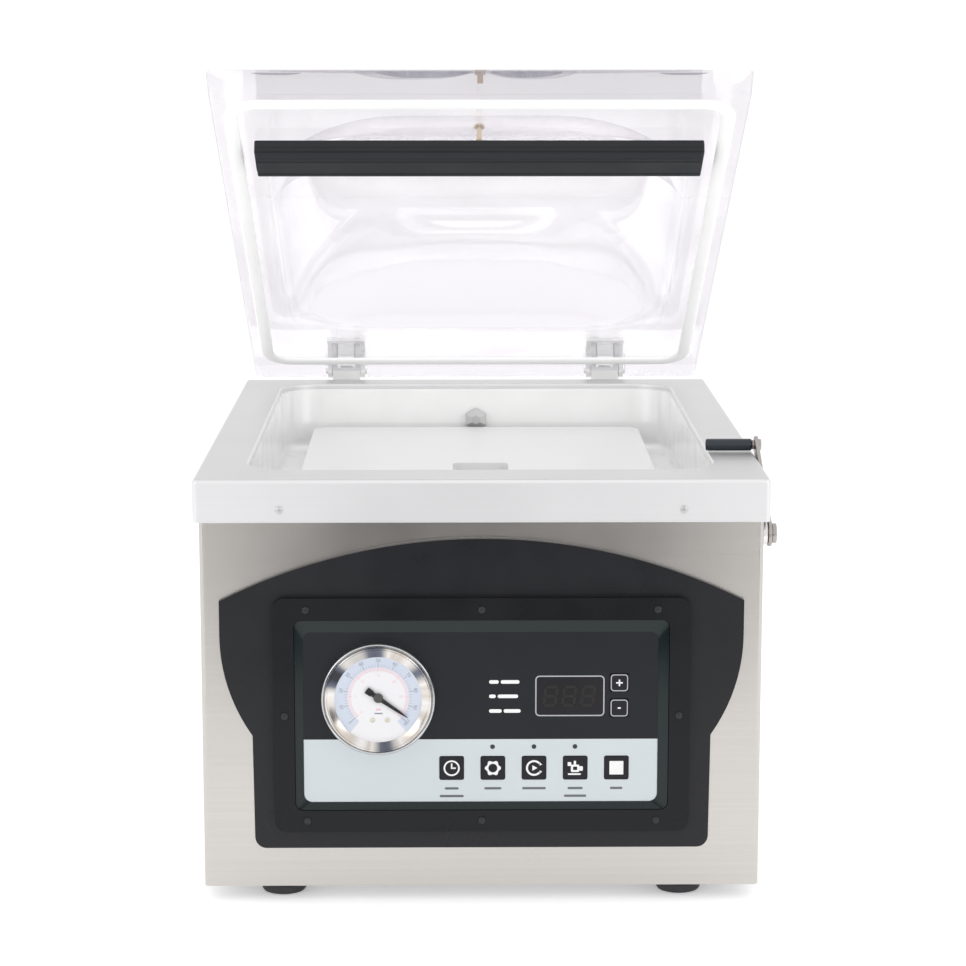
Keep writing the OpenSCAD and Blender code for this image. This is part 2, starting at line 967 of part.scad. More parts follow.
module gauge_needle() {
    tip = 21.5;
    tail = 8.6;
    color("#141414")
    on_panel()
        rotate([0, 0, needle_rest]) {
            translate([0, 0, -11])
                cylinder(h = 13.5, r = 1);
            translate([0, 0, 1.6])
                cylinder(h = 2.4, r = 3.2);
            translate([0, 0, 2.4])
                linear_extrude(0.8) {
                    polygon([[0, -1.4], [tip - 3, -0.9], [tip, 0], [tip - 3, 0.9], [0, 1.4]]);
                    polygon([[0, -1.2], [0, 1.2], [-tail, 2], [-tail, -2]]);
                }
        }
}

// ---------- inside ----------

module pump_housing() {
    end = pump_x + pump_l;
    color("#8c9196")
    difference() {
        union() {
            block([pump_x, shaft_y - 52, shaft_z - 56], [end, shaft_y + 52, shaft_z + 44]);
            block([pump_x + 10, shaft_y - 40, shaft_z + 44 - EPS], [end - 10, shaft_y + 40, shaft_z + 62]);
            for (x = [pump_x + 2, end - 16], y = [-60, 60])
                block([x, shaft_y + min(y, 0), shaft_z - 56], [x + 14, shaft_y + max(y, 0), shaft_z - 48]);
            rod_y(shaft_y - 56, shaft_y - 50, end - 28, shaft_z - 22, 11);
        }
        rod_x(pump_x + 10, end - 10, shaft_y, shaft_z + 4, 40);
        rod_x(pump_x - 1, pump_x + 11, shaft_y, shaft_z, shaft_r + 0.06);
        rod_y(shaft_y - 57, shaft_y - 53, end - 28, shaft_z - 22, 8.5);
        translate([pump_x + 40, shaft_y, shaft_z + 40])
            cylinder(h = 30, r = 4);
    }
}

motor_end = motor_x + motor_l;
fan_shield = motor_x + 20;      // the wall between the fan and the windings
rotor_bore = 34;

// The motor's ring of windings in its frame, with the feet
module motor_housing() {
    color("#6f7479")
    difference() {
        union() {
            rod_x(fan_shield + 8, motor_end - 10, shaft_y, shaft_z, motor_r);
            for (x = [fan_shield + 9, motor_end - 36], y = [-60, 30])
                block([x, shaft_y + y, shaft_z - 56], [x + 14, shaft_y + y + 30, shaft_z - 42]);
        }
        rod_x(fan_shield, motor_end, shaft_y, shaft_z, rotor_bore);
    }
}

// The fan's shroud at one end, and the flange to the pump at the other
module motor_shields() {
    color("#5f6469")
    difference() {
        union() {
            rod_x(motor_x, fan_shield + 8, shaft_y, shaft_z, motor_r);
            rod_x(motor_end - 10, motor_end, shaft_y, shaft_z, motor_r);
            rod_x(motor_end - 2, pump_x, shaft_y, shaft_z, 20);
        }
        rod_x(motor_x - 1, fan_shield, shaft_y, shaft_z, 50);
        rod_x(motor_x, pump_x + 1, shaft_y, shaft_z, shaft_r + 0.06);
    }
}

module drive_shaft() {
    pump_end = pump_x + pump_l;
    color("#9da1a5") {
        rod_x(motor_x + 4, pump_end - 14, shaft_y, shaft_z, shaft_r);
        rod_x(motor_x + 34, motor_end - 16, shaft_y, shaft_z, rotor_bore - 2);
        rod_x(pump_x + 12, pump_end - 12, shaft_y, shaft_z, 32);
        rod_x(motor_x + 6, motor_x + 10, shaft_y, shaft_z, 44);
        for (a = [0:45:315])
            translate([motor_x + 10 - EPS, shaft_y, shaft_z])
                rotate([a, 0, 0])
                    translate([0, -1, 14])
                        cube([8, 2, 30]);
    }
}

module pump_mounts() {
    base = foot_h + 1.8;
    top = shaft_z - 56;
    xs = [pump_x + 9, pump_x + pump_l - 9, fan_shield + 16, motor_end - 29];
    color(black)
    for (x = xs, y = [-54, 54])
        translate([x, shaft_y + y, base])
            cylinder(h = top - base, r = 7);
}

module exhaust_filter() {
    end = pump_x + pump_l;
    color("#3d5c78") {
        rod_x(end, end + 8, shaft_y + 20, shaft_z + 10, 12);
        rod_x(end + 8, 158, shaft_y + 20, shaft_z + 10, 28);
    }
}

module transformer() {
    color("#5c4a35")
    difference() {
        block([96, -120, foot_h + 1.8], [160, -30, foot_h + 70]);
        block([106, -121, foot_h + 16], [118, -29, foot_h + 58]);
        block([138, -121, foot_h + 16], [150, -29, foot_h + 58]);
    }
    color("#a8552c") {
        block([107, -126, foot_h + 17], [117, -24, foot_h + 57]);
        block([139, -126, foot_h + 17], [149, -24, foot_h + 57]);
    }
}

module solenoid_valves() {
    color("#3a3d41")
    for (x = [-120, -84]) {
        block([x, 168, 150], [x + 28, 196, 186]);
        rod_y(160, 204, x + 14, 142, 9);
        block([x + 4, 172, 140], [x + 24, 192, 151]);
    }
}

// A hose from the chamber's suction fitting, down and forward to the pump's inlet
module vacuum_hose() {
    r = 7;
    bend = 14;
    drop = 188;
    run_z = drop - bend;
    down_y = chamber_back + spigot_l + r;
    pump_port_x = pump_x + 40;
    pump_top = shaft_z + 62;
    color("#2d2f33") {
        translate([0, down_y, drop])
            cylinder(h = fitting_z + r - drop, r = r);
        translate([0, down_y - bend, drop])
            rotate([0, 90, 0])
                rotate_extrude(angle = 90)
                    translate([bend, 0])
                        circle(r);
        rod_y(shaft_y, down_y - bend, 0, run_z, r);
        rod_x(0, pump_port_x, shaft_y, run_z, r);
        translate([pump_port_x, shaft_y, pump_top])
            cylinder(h = run_z - pump_top, r = r);
    }
}

// ---------- rear fittings ----------

module mains_inlet() {
    color(black)
    difference() {
        union() {
            upright(rear_y - 22, rear_y)
                translate([inlet_x, inlet_z])
                    rounded_rect([27, 20], 2.7);
            upright(rear_y, rear_y + 2.4)
                translate([inlet_x, inlet_z])
                    rounded_rect([46, 24], 4);
        }
        upright(rear_y - 17, rear_y + 3)
            translate([inlet_x, inlet_z])
                rounded_rect([24.4, 16.6], 2.2);
    }
    color(brass)
    for (dx = [-7, 0, 7])
        block([inlet_x + dx - 1, rear_y - 18, inlet_z - 2.5 + (dx == 0 ? 3.5 : -1)],
            [inlet_x + dx + 1, rear_y - 3, inlet_z + 1.5 + (dx == 0 ? 3.5 : -1)]);
}

module switch_frame() {
    color(black)
    difference() {
        union() {
            rod_y(rear_y - 16, rear_y, switch_x, inlet_z, 10);
            rod_y(rear_y, rear_y + 2, switch_x, inlet_z, 11.6);
        }
        rod_y(rear_y - 13, rear_y + 3, switch_x, inlet_z, 9);
    }
}

// The rocker tilts about an axis along X; it rests with its upper edge in
module switch_rocker() {
    tilt = 9;
    color("#9e2b25")
    translate([switch_x, rear_y - 6, inlet_z])
        rotate([tilt, 0, 0])
            difference() {
                intersection() {
                    rod_y(-5, 9.5, 0, 0, 8);
                    rod_x(-6.2, 6.2, 0, 0, 9.2);
                }
                rod_x(-7, 7, 24, 0, 16);
            }
}

housing_wrap();
base_plate();
rear_cover();
case_screws();
rubber_feet();
deck_top_sheet();
chamber_tub();
suction_fitting();
filler_plate();
lift_cylinders();
fascia();
panel_frame();
panel_screws();
overlay_sheet();
display_window();
display_module();
status_lamps();
control_board();
gauge_case();
gauge_bezel();
gauge_glass();
gauge_dial();
gauge_movement();
hinge_brackets();
hinge_pins();
hinge_springs();
lever_bush();
lever_bolt();
pump_housing();
motor_housing();
motor_shields();
pump_mounts();
exhaust_filter();
transformer();
solenoid_valves();
vacuum_hose();
mains_inlet();
switch_frame();
lid_shell();
lid_gasket();
counter_bar();
counter_pad();
lid_screws();
hinge_leaves();
lever_arm();
grip_axle();
lever_grip();
seal_bar();
heating_wire();
seal_tape();
gauge_needle();
switch_rocker();
drive_shaft();
key_time();
key_preset();
key_marinate();
key_pump();
key_stop();
key_plus();
key_minus();
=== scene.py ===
import json
from math import cos, pi, radians, sin

import bmesh
import bpy
from mathutils import Matrix, Vector


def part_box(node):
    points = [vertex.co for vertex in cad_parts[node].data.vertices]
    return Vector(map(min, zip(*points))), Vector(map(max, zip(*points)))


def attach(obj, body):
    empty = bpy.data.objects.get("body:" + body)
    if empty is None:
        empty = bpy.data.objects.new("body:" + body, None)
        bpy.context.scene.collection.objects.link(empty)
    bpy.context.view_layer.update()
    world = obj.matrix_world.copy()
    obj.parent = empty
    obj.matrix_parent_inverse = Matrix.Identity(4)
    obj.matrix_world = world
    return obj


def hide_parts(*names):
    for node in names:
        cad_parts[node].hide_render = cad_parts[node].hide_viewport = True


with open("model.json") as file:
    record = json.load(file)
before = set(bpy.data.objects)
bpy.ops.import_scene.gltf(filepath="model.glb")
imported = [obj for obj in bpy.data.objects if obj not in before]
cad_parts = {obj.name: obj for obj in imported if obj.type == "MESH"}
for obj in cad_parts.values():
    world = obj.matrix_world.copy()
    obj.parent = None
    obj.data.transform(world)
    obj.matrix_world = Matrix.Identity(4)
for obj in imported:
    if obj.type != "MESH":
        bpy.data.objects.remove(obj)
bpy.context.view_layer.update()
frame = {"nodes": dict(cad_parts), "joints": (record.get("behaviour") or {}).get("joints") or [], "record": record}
NODES = frame["nodes"]
MM = 0.001
GAUGE = (-62.2, 129.8)      # the gauge's axis, X and Z in millimetres


# ---------- camera ----------

CAMERA_PLACE = (-0.0166, -1.8078, 0.5387)
CAMERA_DOWN = 9.96          # degrees below level
CAMERA_TURN = -0.627        # degrees; below zero is to the right
LENS = 101.05


def make_camera():
    data = bpy.data.cameras.new("camera")
    data.lens = LENS
    data.sensor_width = 36
    data.clip_start = 0.05
    camera = bpy.data.objects.new("camera", data)
    camera.location = CAMERA_PLACE
    camera.rotation_euler = (radians(90 - CAMERA_DOWN), 0, radians(CAMERA_TURN))
    bpy.context.scene.collection.objects.link(camera)
    bpy.context.scene.camera = camera


make_camera()


# ---------- materials ----------

def set_inputs(tree, node, inputs):
    """Fills a node's inputs; each is a plain value, or the output of another node."""
    for key, value in inputs.items():
        if isinstance(value, bpy.types.NodeSocket):
            tree.links.new(value, node.inputs[key])
        else:
            node.inputs[key].default_value = value


def output_of(tree, kind, inputs=None, output=0, operation=None):
    """Adds a shader node, and gives back one of its outputs."""
    node = tree.nodes.new("ShaderNode" + kind)
    if operation:
        node.operation = operation
    set_inputs(tree, node, inputs or {})
    return node.outputs[output]


def new_material(name):
    mat = bpy.data.materials.new(name)
    mat.use_nodes = True
    tree = mat.node_tree
    tree.nodes.clear()
    tree.nodes.new("ShaderNodeOutputMaterial")
    shader = tree.nodes.new("ShaderNodeBsdfPrincipled")
    show(tree, shader.outputs["BSDF"])
    return mat, tree, shader


def show(tree, surface):
    """Makes a shader's output the surface of its material."""
    out = next(n for n in tree.nodes if n.type == "OUTPUT_MATERIAL")
    tree.links.new(surface, out.inputs["Surface"])


def mix(tree, share, first, second):
    return output_of(tree, "MixShader", {0: share, 1: first, 2: second})


def noise(tree, scale, detail=3.0, rough=0.5):
    """A noise over object space. scale is features per metre, one number or one per axis."""
    scale = scale if isinstance(scale, tuple) else (scale,) * 3
    place = output_of(tree, "TexCoord", output="Object")
    place = output_of(tree, "Mapping", {"Vector": place, "Scale": scale}, "Vector")
    inputs = {"Vector": place, "Scale": 1.0, "Detail": detail, "Roughness": rough, "Distortion": 0.0}
    return output_of(tree, "TexNoise", inputs, "Fac")


def spread(tree, fac, low, high, from_low=0.3, from_high=0.7):
    """Makes a value run from low to high, by default over a noise's middle range."""
    inputs = {"Value": fac, "From Min": from_low, "From Max": from_high, "To Min": low, "To Max": high}
    return output_of(tree, "MapRange", inputs, "Result")


def ramp(tree, fac, stops):
    """A colour ramp over a value; each stop is a position and a colour."""
    node = tree.nodes.new("ShaderNodeValToRGB")
    points = node.color_ramp.elements
    for point, (position, colour) in zip(points, (stops[0], stops[-1])):
        point.position = position
        point.color = (*colour, 1)
    for position, colour in stops[1:-1]:
        points.new(position).color = (*colour, 1)
    tree.links.new(fac, node.inputs["Fac"])
    return node.outputs["Color"]


def two_tone(tree, fac, colour, contrast):
    """A colour that varies by its contrast, darker and lighter, with a noise."""
    return ramp(tree, fac, ((0.35, shade(colour, 1 - contrast)), (0.65, shade(colour, 1 + contrast))))


def bump(tree, fac, strength, distance):
    return output_of(tree, "Bump", {"Strength": strength, "Distance": distance, "Height": fac}, "Normal")


def shade(colour, factor):
    return tuple(min(1.0, c * factor) for c in colour)


FINE_RELIEF = 0.00003       # metres


def brushed(name, colour, rough, contrast=0.03, strength=0.1, metallic=1.0):
    """Sheet metal brushed along X."""
    mat, tree, shader = new_material(name)
    lines = noise(tree, (3.0, 1300.0, 1300.0), 4, 0.65)
    set_inputs(tree, shader, {
        "Metallic": metallic,
        "Base Color": two_tone(tree, lines, colour, contrast),
        "Roughness": spread(tree, noise(tree, 9.0), rough - 0.03, rough + 0.03),
        "Normal": bump(tree, lines, strength, FINE_RELIEF)})
    return mat


def uneven(name, colour, rough, contrast, patches, relief, inputs):
    """A slightly uneven colour and gloss; relief is a noise's scale, detail, strength and depth."""
    mat, tree, shader = new_material(name)
    wide = noise(tree, patches, 2)
    scale, detail, strength, depth = relief
    set_inputs(tree, shader, {
        "Base Color": two_tone(tree, wide, colour, contrast),
        "Roughness": spread(tree, wide, rough * 0.85, rough * 1.15),
        "Normal": bump(tree, noise(tree, scale, detail), strength, depth)})
    set_inputs(tree, shader, inputs)
    return mat


def satin_metal(name, colour, rough, metallic=1.0, grain=600.0, contrast=0.04):
    """Plated, cast or turned metal with a fine even grain."""
    return uneven(name, colour, rough, contrast, 40.0, (grain, 4, 0.1, FINE_RELIEF), {"Metallic": metallic})


def moulded(name, colour, rough, grain=900.0, depth=0.00004, contrast=0.06, gloss=0.5):
    """Moulded plastic, rubber or powder coat."""
    return uneven(name, colour, rough, contrast, 25.0, (grain, 3, 0.25, depth), {"Specular IOR Level": gloss})


def film(name, colour, rough, contrast=0.06, gloss=0.25):
    """Smooth plastic film."""
    return moulded(name, colour, rough, 2500.0, 0.00001, contrast, gloss)


def ink(name, colour, contrast=0.06, rough=0.5, gloss=0.2):
    """Printed or painted marks."""
    return moulded(name, colour, rough, contrast=contrast, gloss=gloss)


def calc(tree, operation, value, *numbers):
    """One step of arithmetic on a node's output."""
    return output_of(tree, "Math", dict(enumerate((value, *numbers))), 0, operation)


def clear(name, face_colour, edge_on_painted_shade, ior, bent=0.2, rough=0.015):
    """Clear plastic with painted shade where it is seen edge on, standing for the darker things that it bends and
    reflects there. bent is the share of light that it refracts.
    """
    mat, tree, shader = new_material(name)
    smear = spread(tree, noise(tree, 14.0, 4), rough / 2, rough)
    set_inputs(tree, shader, {"Base Color": (*face_colour, 1), "Transmission Weight": 1.0, "IOR": ior,
                              "Roughness": smear})
    facing = output_of(tree, "LayerWeight", output="Facing")
    # Painted shade: what is seen through the plastic darkens towards a grazing view.
    colour = ramp(tree, calc(tree, "POWER", facing, 2.0), ((0.3, face_colour), (1.0, edge_on_painted_shade)))
    through = output_of(tree, "BsdfTransparent", {"Color": colour})
    shine = output_of(tree, "BsdfGlossy", {"Roughness": rough})
    sheen = calc(tree, "MULTIPLY_ADD", calc(tree, "POWER", facing, 4.0), 0.5, 0.03)
    show(tree, mix(tree, bent, mix(tree, sheen, through, shine), shader.outputs["BSDF"]))
    return mat


def tint(name, colour):
    """A film that only colours what is seen through it."""
    mat, tree, shader = new_material(name)
    tree.nodes.remove(shader)
    show(tree, output_of(tree, "BsdfTransparent", {"Color": two_tone(tree, noise(tree, 60.0), colour, 0.04)}))
    return mat


def radial_painted_reflections(name, centre, rough):
    """Polished steel turned on a lathe, with painted reflections: bright and dark streaks, painted into its
    colour, that run outwards from its centre.
    """
    mat, tree, shader = new_material(name)
    place = output_of(tree, "TexCoord", output="Object")
    place = output_of(tree, "VectorMath", {0: place, 1: centre}, 0, "SUBTRACT")
    place = output_of(tree, "VectorMath", {0: place, 1: (1, 0, 1)}, 0, "MULTIPLY")
    place = output_of(tree, "VectorMath", {0: place}, 0, "NORMALIZE")
    reflection_pattern = output_of(tree, "TexNoise", {"Vector": place, "Scale": 1.25, "Detail": 1.0}, "Fac")
    # Painted reflections: the dark, bright and warm tones of the steel's surroundings, set in its base colour.
    stops = ((0.34, (0.05, 0.05, 0.06)), (0.42, (0.15, 0.16, 0.20)), (0.47, (0.48, 0.46, 0.44)),
             (0.53, (0.74, 0.71, 0.69)), (0.60, (0.58, 0.53, 0.48)), (0.68, (0.80, 0.79, 0.78)))
    set_inputs(tree, shader, {"Base Color": ramp(tree, reflection_pattern, stops), "Metallic": 1.0, "Roughness": rough})
    return mat


def thin_glass(name, ior, rough):
    """A thin clear pane: it reflects, but doesn't bend or dim what is behind it."""
    mat, tree, shader = new_material(name)
    gloss = spread(tree, noise(tree, 60.0), rough * 0.5, rough * 1.5)
    set_inputs(tree, shader, {"Metallic": 1.0, "Base Color": (1, 1, 1, 1), "Roughness": gloss})
    through = output_of(tree, "BsdfTransparent")
    fresnel = output_of(tree, "Fresnel", {"IOR": ior}, "Fac")
    show(tree, mix(tree, fresnel, through, shader.outputs["BSDF"]))
    return mat


DECK_FINISH = {"contrast": 0.01, "strength": 0.04, "metallic": 0.55}
M = {
    "body": brushed("body_steel", (0.555, 0.53, 0.503), 0.25),
    "body_back": brushed("back_steel", (0.60, 0.58, 0.56), 0.34),
    "deck": brushed("deck_steel", (0.74, 0.732, 0.742), 0.36, **DECK_FINISH),
    # Painted shade: a darker copy of the deck's steel for its top faces, standing for the darker things that the
    # top reflects.
    "deck_top": brushed("deck_top_steel", (0.60, 0.592, 0.60), 0.36, **DECK_FINISH),
    "tub": satin_metal("tub_steel", (0.95,) * 3, 0.2, 0.3, 900.0, 0.015),
    "zinc": satin_metal("zinc_plate", (0.56,) * 3, 0.34),
    "hinge": satin_metal("hinge_zinc", (0.86, 0.87, 0.86), 0.35, 0.25),
    "bright": satin_metal("bright_steel", (0.74, 0.73, 0.72), 0.18),
    "lever": satin_metal("lever_steel", (0.42, 0.39, 0.37), 0.26),
    # Painted reflections: the bezel's radial streaks are painted into its colour.
    "chrome": radial_painted_reflections("polished_bezel", (GAUGE[0] * MM, 0, GAUGE[1] * MM), 0.17),
    "bezel_edge": satin_metal("bezel_edge", (0.52, 0.53, 0.54), 0.22, contrast=0.02),
    "spring": satin_metal("spring_wire", (0.62,) * 3, 0.3),
    "acrylic": clear("clear_acrylic", (0.945, 0.93, 0.95), (0.66, 0.65, 0.69), 1.49),
    # Painted refraction: tinted films on the lid's front edge that stand for the counter bar seen through the
    # acrylic.
    "painted_refraction_soft": tint("painted_bar_refraction_soft", (0.80, 0.80, 0.82)),
    "painted_refraction": tint("painted_bar_refraction", (0.62, 0.62, 0.66)),
    # Painted refraction: a tinted film that stands for the centre screw's image in the lid's front edge.
    "painted_screw_refraction": tint("painted_screw_refraction", (0.62, 0.54, 0.46)),
    "glass": thin_glass("gauge_glass", 1.15, 0.02),
    "foam": moulded("white_foam", (0.93,) * 3, 0.8, 1500.0, 0.0001, 0.01),
    "rubber": moulded("black_rubber", (0.040, 0.039, 0.042), 0.55, contrast=0.15, gloss=0.3),
    "bar": moulded("bar_rubber", (0.012, 0.0135, 0.0155), 0.5, 1200.0, contrast=0.1, gloss=0.3),
    "pad": moulded("pad_rubber", (0.016, 0.018, 0.021), 0.6, 1200.0, contrast=0.1, gloss=0.3),
    "fascia": moulded("fascia_coat", (0.0105, 0.011, 0.0135), 0.30, 1800.0, 0.00002, 0.04, 0.3),
    "frame": moulded("frame_plastic", (0.007, 0.0075, 0.009), 0.3, 1800.0, 0.00002, gloss=0.22),
    "rim": moulded("window_rim", (0.006, 0.013, 0.013), 0.16, 1500.0, 0.00001, gloss=0.35),
    "black": moulded("black_plastic", (0.012, 0.0125, 0.014), 0.4, gloss=0.35),
    "screw": moulded("black_zinc", (0.006, 0.006, 0.007), 0.3),
    "grip": moulded("grip_plastic", (0.014, 0.021, 0.030), 0.25, 1500.0, 0.00002),
    "overlay": film("film_black", (0.0105, 0.0115, 0.0145), 0.42, 0.03),
    "film_grey": film("film_grey", (0.53, 0.57, 0.592), 0.5, 0.01, 0.2),
    "ink_white": ink("ink_white", (0.74,) * 3, 0.02),
    "ink_soft": ink("ink_soft", (0.40, 0.40, 0.42), 0.02),
    "ink_dark": ink("ink_dark", (0.13, 0.135, 0.15), 0.05),
    "ghost": ink("ghost_segment", (0.024, 0.0225, 0.0205), 0.05, 0.4),
    "key": film("key_film", (0.011, 0.0105, 0.015), 0.4),
    "window": film("display_window", (0.0115, 0.0115, 0.0135), 0.3),
    "lamp": moulded("lamp_lens", (0.02, 0.02, 0.022), 0.2),
    "dial": ink("dial_white", (0.83, 0.82, 0.84), 0.01),
    "dial_blue": ink("dial_blue", (0.62, 0.67, 0.77), 0.01),
    "dial_pink": ink("dial_pink", (0.80, 0.70, 0.74), 0.01),
    "tick": ink("tick_ink", (0.24, 0.26, 0.33)),
    "tick_red": ink("red_ink", (0.80, 0.52, 0.53)),
    "needle": ink("needle_black", (0.008, 0.008, 0.010), rough=0.4, gloss=0.3),
    "hub": satin_metal("hub_grey", (0.07, 0.068, 0.066), 0.4, 0.3),
    "board_white": moulded("white_board", (0.74, 0.742, 0.74), 0.35, 1400.0, 0.000008, 0.01),
    "pcb": moulded("pcb_green", (0.03, 0.14, 0.07), 0.4, 1500.0),
    "brass": satin_metal("brass", (0.64, 0.52, 0.36), 0.28),
    "dial_screw": satin_metal("dial_screw", (0.68, 0.66, 0.54), 0.4),
    "pump": satin_metal("pump_paint", (0.20, 0.22, 0.24), 0.5, 0.2, 250.0),
    "motor": satin_metal("motor_paint", (0.24, 0.26, 0.28), 0.45, 0.3, 300.0),
    "copper": satin_metal("winding", (0.50, 0.24, 0.10), 0.35),
    "filter": moulded("filter_paint", (0.05, 0.10, 0.17), 0.35),
    "tape": moulded("seal_tape", (0.40, 0.25, 0.12), 0.5, 1400.0, 0.0001),
    "red": moulded("switch_red", (0.42, 0.03, 0.02), 0.25),
}


# ---------- mesh helpers ----------

def at(x, y, z):
    return Matrix.Translation((x, y, z))


def link(obj):
    bpy.context.scene.collection.objects.link(obj)
    return obj


def rounded_rect(half_w, half_d, r, steps=8, centre=(0, 0)):
    """Points of a rounded rectangle, anticlockwise from its right side, steps + 1 to a corner."""
    points = []
    for corner in range(4):
        x = centre[0] + (1 if corner in (0, 3) else -1) * (half_w - r)
        y = centre[1] + (1 if corner in (0, 1) else -1) * (half_d - r)
        for i in range(steps + 1):
            a = (corner + i / steps) * pi / 2
            points.append((x + r * cos(a), y + r * sin(a)))
    return points


def circle(r, steps=48, centre=(0, 0)):
    angles = [2 * pi * i / steps for i in range(steps)]
    return [(centre[0] + r * cos(a), centre[1] + r * sin(a)) for a in angles]


def arc_steps(start, end, steps):
    """Angles in radians, from start to end in degrees."""
    return [radians(start + (end - start) * i / steps) for i in range(steps + 1)]


def level(points, z):
    return [(x, y, z) for x, y in points]


def in_mm(points):
    return [(x * MM, y * MM) for x, y in points]


def turned(profile, steps, centre=(0, 0)):
    """Rings of a round shape that stands along Z; its profile is radii and heights."""
    return [level(circle(r, steps, centre), z) for r, z in profile]


def add_rings(bm, rings, close=False):
    """Joins rings of equal length. close joins the last to the first, or else the two ends are filled."""
    rows = [[bm.verts.new(p) for p in ring] for ring in rings]
    pairs = list(zip(rows, rows[1:]))
    if close:
        pairs.append((rows[-1], rows[0]))
    for a, b in pairs:
        for i in range(len(a)):
            j = (i + 1) % len(a)
            bm.faces.new((a[i], a[j], b[j], b[i]))
    if not close:
        bm.faces.new(list(reversed(rows[0])))
        bm.faces.new(rows[-1])


def add_prism(bm, points, low, high):
    add_rings(bm, [level(points, low), level(points, high)])


def add_frame(bm, outer, inner, low, high):
    """A prism with a hole: outer and inner have as many points as each other."""
    rings = [level(outer, low), level(outer, high), level(inner, high), level(inner, low)]
    add_rings(bm, rings, close=True)


def move(bm, matrix):
    bmesh.ops.transform(bm, matrix=matrix, verts=bm.verts)


def finish_mesh(bm, name, material, sharp=35.0, weighted=True):
    bmesh.ops.recalc_face_normals(bm, faces=bm.faces)
    mesh = bpy.data.meshes.new(name)
    bm.to_mesh(mesh)
    bm.free()
    mesh.polygons.foreach_set("use_smooth", [True] * len(mesh.polygons))
    mesh.set_sharp_from_angle(angle=radians(sharp))
    obj = link(bpy.data.objects.new(name, mesh))
    obj.data.materials.append(M[material])
    if weighted:
        obj.modifiers.new("normals", "WEIGHTED_NORMAL").keep_sharp = True
    return obj


def skin(name, rings, material, close=False, sharp=35.0, weighted=True):
    bm = bmesh.new()
    add_rings(bm, rings, close)
    return finish_mesh(bm, name, material, sharp, weighted)


def evaluated_mesh(obj):
    bpy.context.view_layer.update()
    return bpy.data.meshes.new_from_object(obj.evaluated_get(bpy.context.evaluated_depsgraph_get()))


def carve(obj, bm, sharp=35.0):
    """Takes a shape's volume out of a piece."""
    cutter = finish_mesh(bm, "cutter", "zinc", weighted=False)
    cut = obj.modifiers.new("cut", "BOOLEAN")
    cut.operation = "DIFFERENCE"
    cut.solver = "EXACT"
    cut.object = cutter
    result = evaluated_mesh(obj)
    obj.modifiers.clear()
    obj.data = result
    obj.data.set_sharp_from_angle(angle=radians(sharp))
    bpy.data.objects.remove(cutter)


def hide_from(obj, *rays):
    for ray in rays:
        setattr(obj, "visible_" + ray, False)


def put(obj, body, slot, *nodes):
    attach(obj, body)
    if nodes:
        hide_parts(*nodes)


SLOT = {s["node"]: s["material_slot"] for s in frame["record"]["subparts"]}
BODY = {n: b for b, members in frame["record"]["behaviour"]["bodies"].items() for n in members}


def stand_for(obj, node):
    """Puts a piece on its node's body, in that node's place."""
    put(obj, BODY[node], SLOT[node], node)


def refine(node, material, radius):
    """A CAD node's own form with its sharp edges rounded, standing for that node."""
    bm = bmesh.new()
    bm.from_mesh(NODES[node].data)
    bmesh.ops.remove_doubles(bm, verts=bm.verts, dist=2e-6)
    bmesh.ops.dissolve_limit(bm, angle_limit=radians(0.6), verts=bm.verts, edges=bm.edges)
    edges = [e for e in bm.edges if len(e.link_faces) == 2 and e.calc_face_angle(0) > radians(30)]
    bmesh.ops.bevel(bm, geom=edges, offset=radius * MM, segments=2, profile=0.5, affect="EDGES",
                    clamp_overlap=True, offset_type="OFFSET")
    stand_for(finish_mesh(bm, node + "_piece", material, sharp=50.0), node)


def repaint(node, material):
    obj = NODES[node]
    obj.data.materials.clear()
    obj.data.materials.append(M[material])


# ---------- sizes shared by several pieces ----------

HINGE = Vector((0, 0.226, 0.2675))
HINGE_X = 97.4 * MM
LID_OPEN = next(j for j in frame["joints"] if j["name"] == "lid_hinge")["range_deg"][1]
LID_SWING = Matrix.Rotation(radians(-LID_OPEN), 4, "X")
OPEN = Matrix.Translation(HINGE) @ LID_SWING @ Matrix.Translation(-HINGE)
deck_low, deck_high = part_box("deck_top_sheet")
DECK_TOP = deck_high.z
CHAMBER_TOP = DECK_TOP - 4 * MM
CHAMBER_HALF = (0.143, 0.190)
CHAMBER_MID = (0, 0.0064)
CHAMBER_R = 0.027
CHAMBER_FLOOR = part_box("filler_plate")[0].z
PANEL_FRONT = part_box("overlay_sheet")[0].y


# ---------- casing ----------

def deck_shell():
    """The deck: a folded sheet whose skirt and chamber opening both have rolled edges."""
    mid = (deck_low + deck_high) / 2
    half = (deck_high - deck_low) / 2
    sheet, fold, roll = 1.5 * MM, 2.2 * MM, 1.8 * MM
    below = DECK_TOP - sheet

    def outer(inset, z):
        corner = 3.2 * MM - inset * 0.9
        return level(rounded_rect(half.x - inset, half.y - inset, corner, 6, (mid.x, mid.y)), z)

    def inner(grow, z):
        half_w, half_d = (h + grow for h in CHAMBER_HALF)
        return level(rounded_rect(half_w, half_d, CHAMBER_R + grow, 6, CHAMBER_MID), z)

    rings = [outer(sheet, deck_low.z), outer(0.3 * MM, deck_low.z), outer(0, deck_low.z + 0.3 * MM)]
    for a in arc_steps(0, 90, 6):
        rings.append(outer(fold * (1 - cos(a)), DECK_TOP - fold * (1 - sin(a))))
    for a in arc_steps(90, 0, 5):
        rings.append(inner(roll * (1 - cos(a)), DECK_TOP - roll * (1 - sin(a))))
    rings += [inner(0, CHAMBER_TOP), inner(0.9 * MM, CHAMBER_TOP), inner(0.9 * MM, below - 0.5 * MM)]
    rings += [outer(sheet + 1 * MM, below - 0.5 * MM), outer(sheet, below - 1.5 * MM)]
    obj = skin("deck_shell", rings, "deck", close=True)
    # Painted shade: the upward faces take the darker copy of the deck's steel.
    obj.data.materials.append(M["deck_top"])
    for face in obj.data.polygons:
        if face.normal.z > 0.9:
            face.material_index = 1
    put(obj, "cabinet", "brushed_deck", "deck_top_sheet")


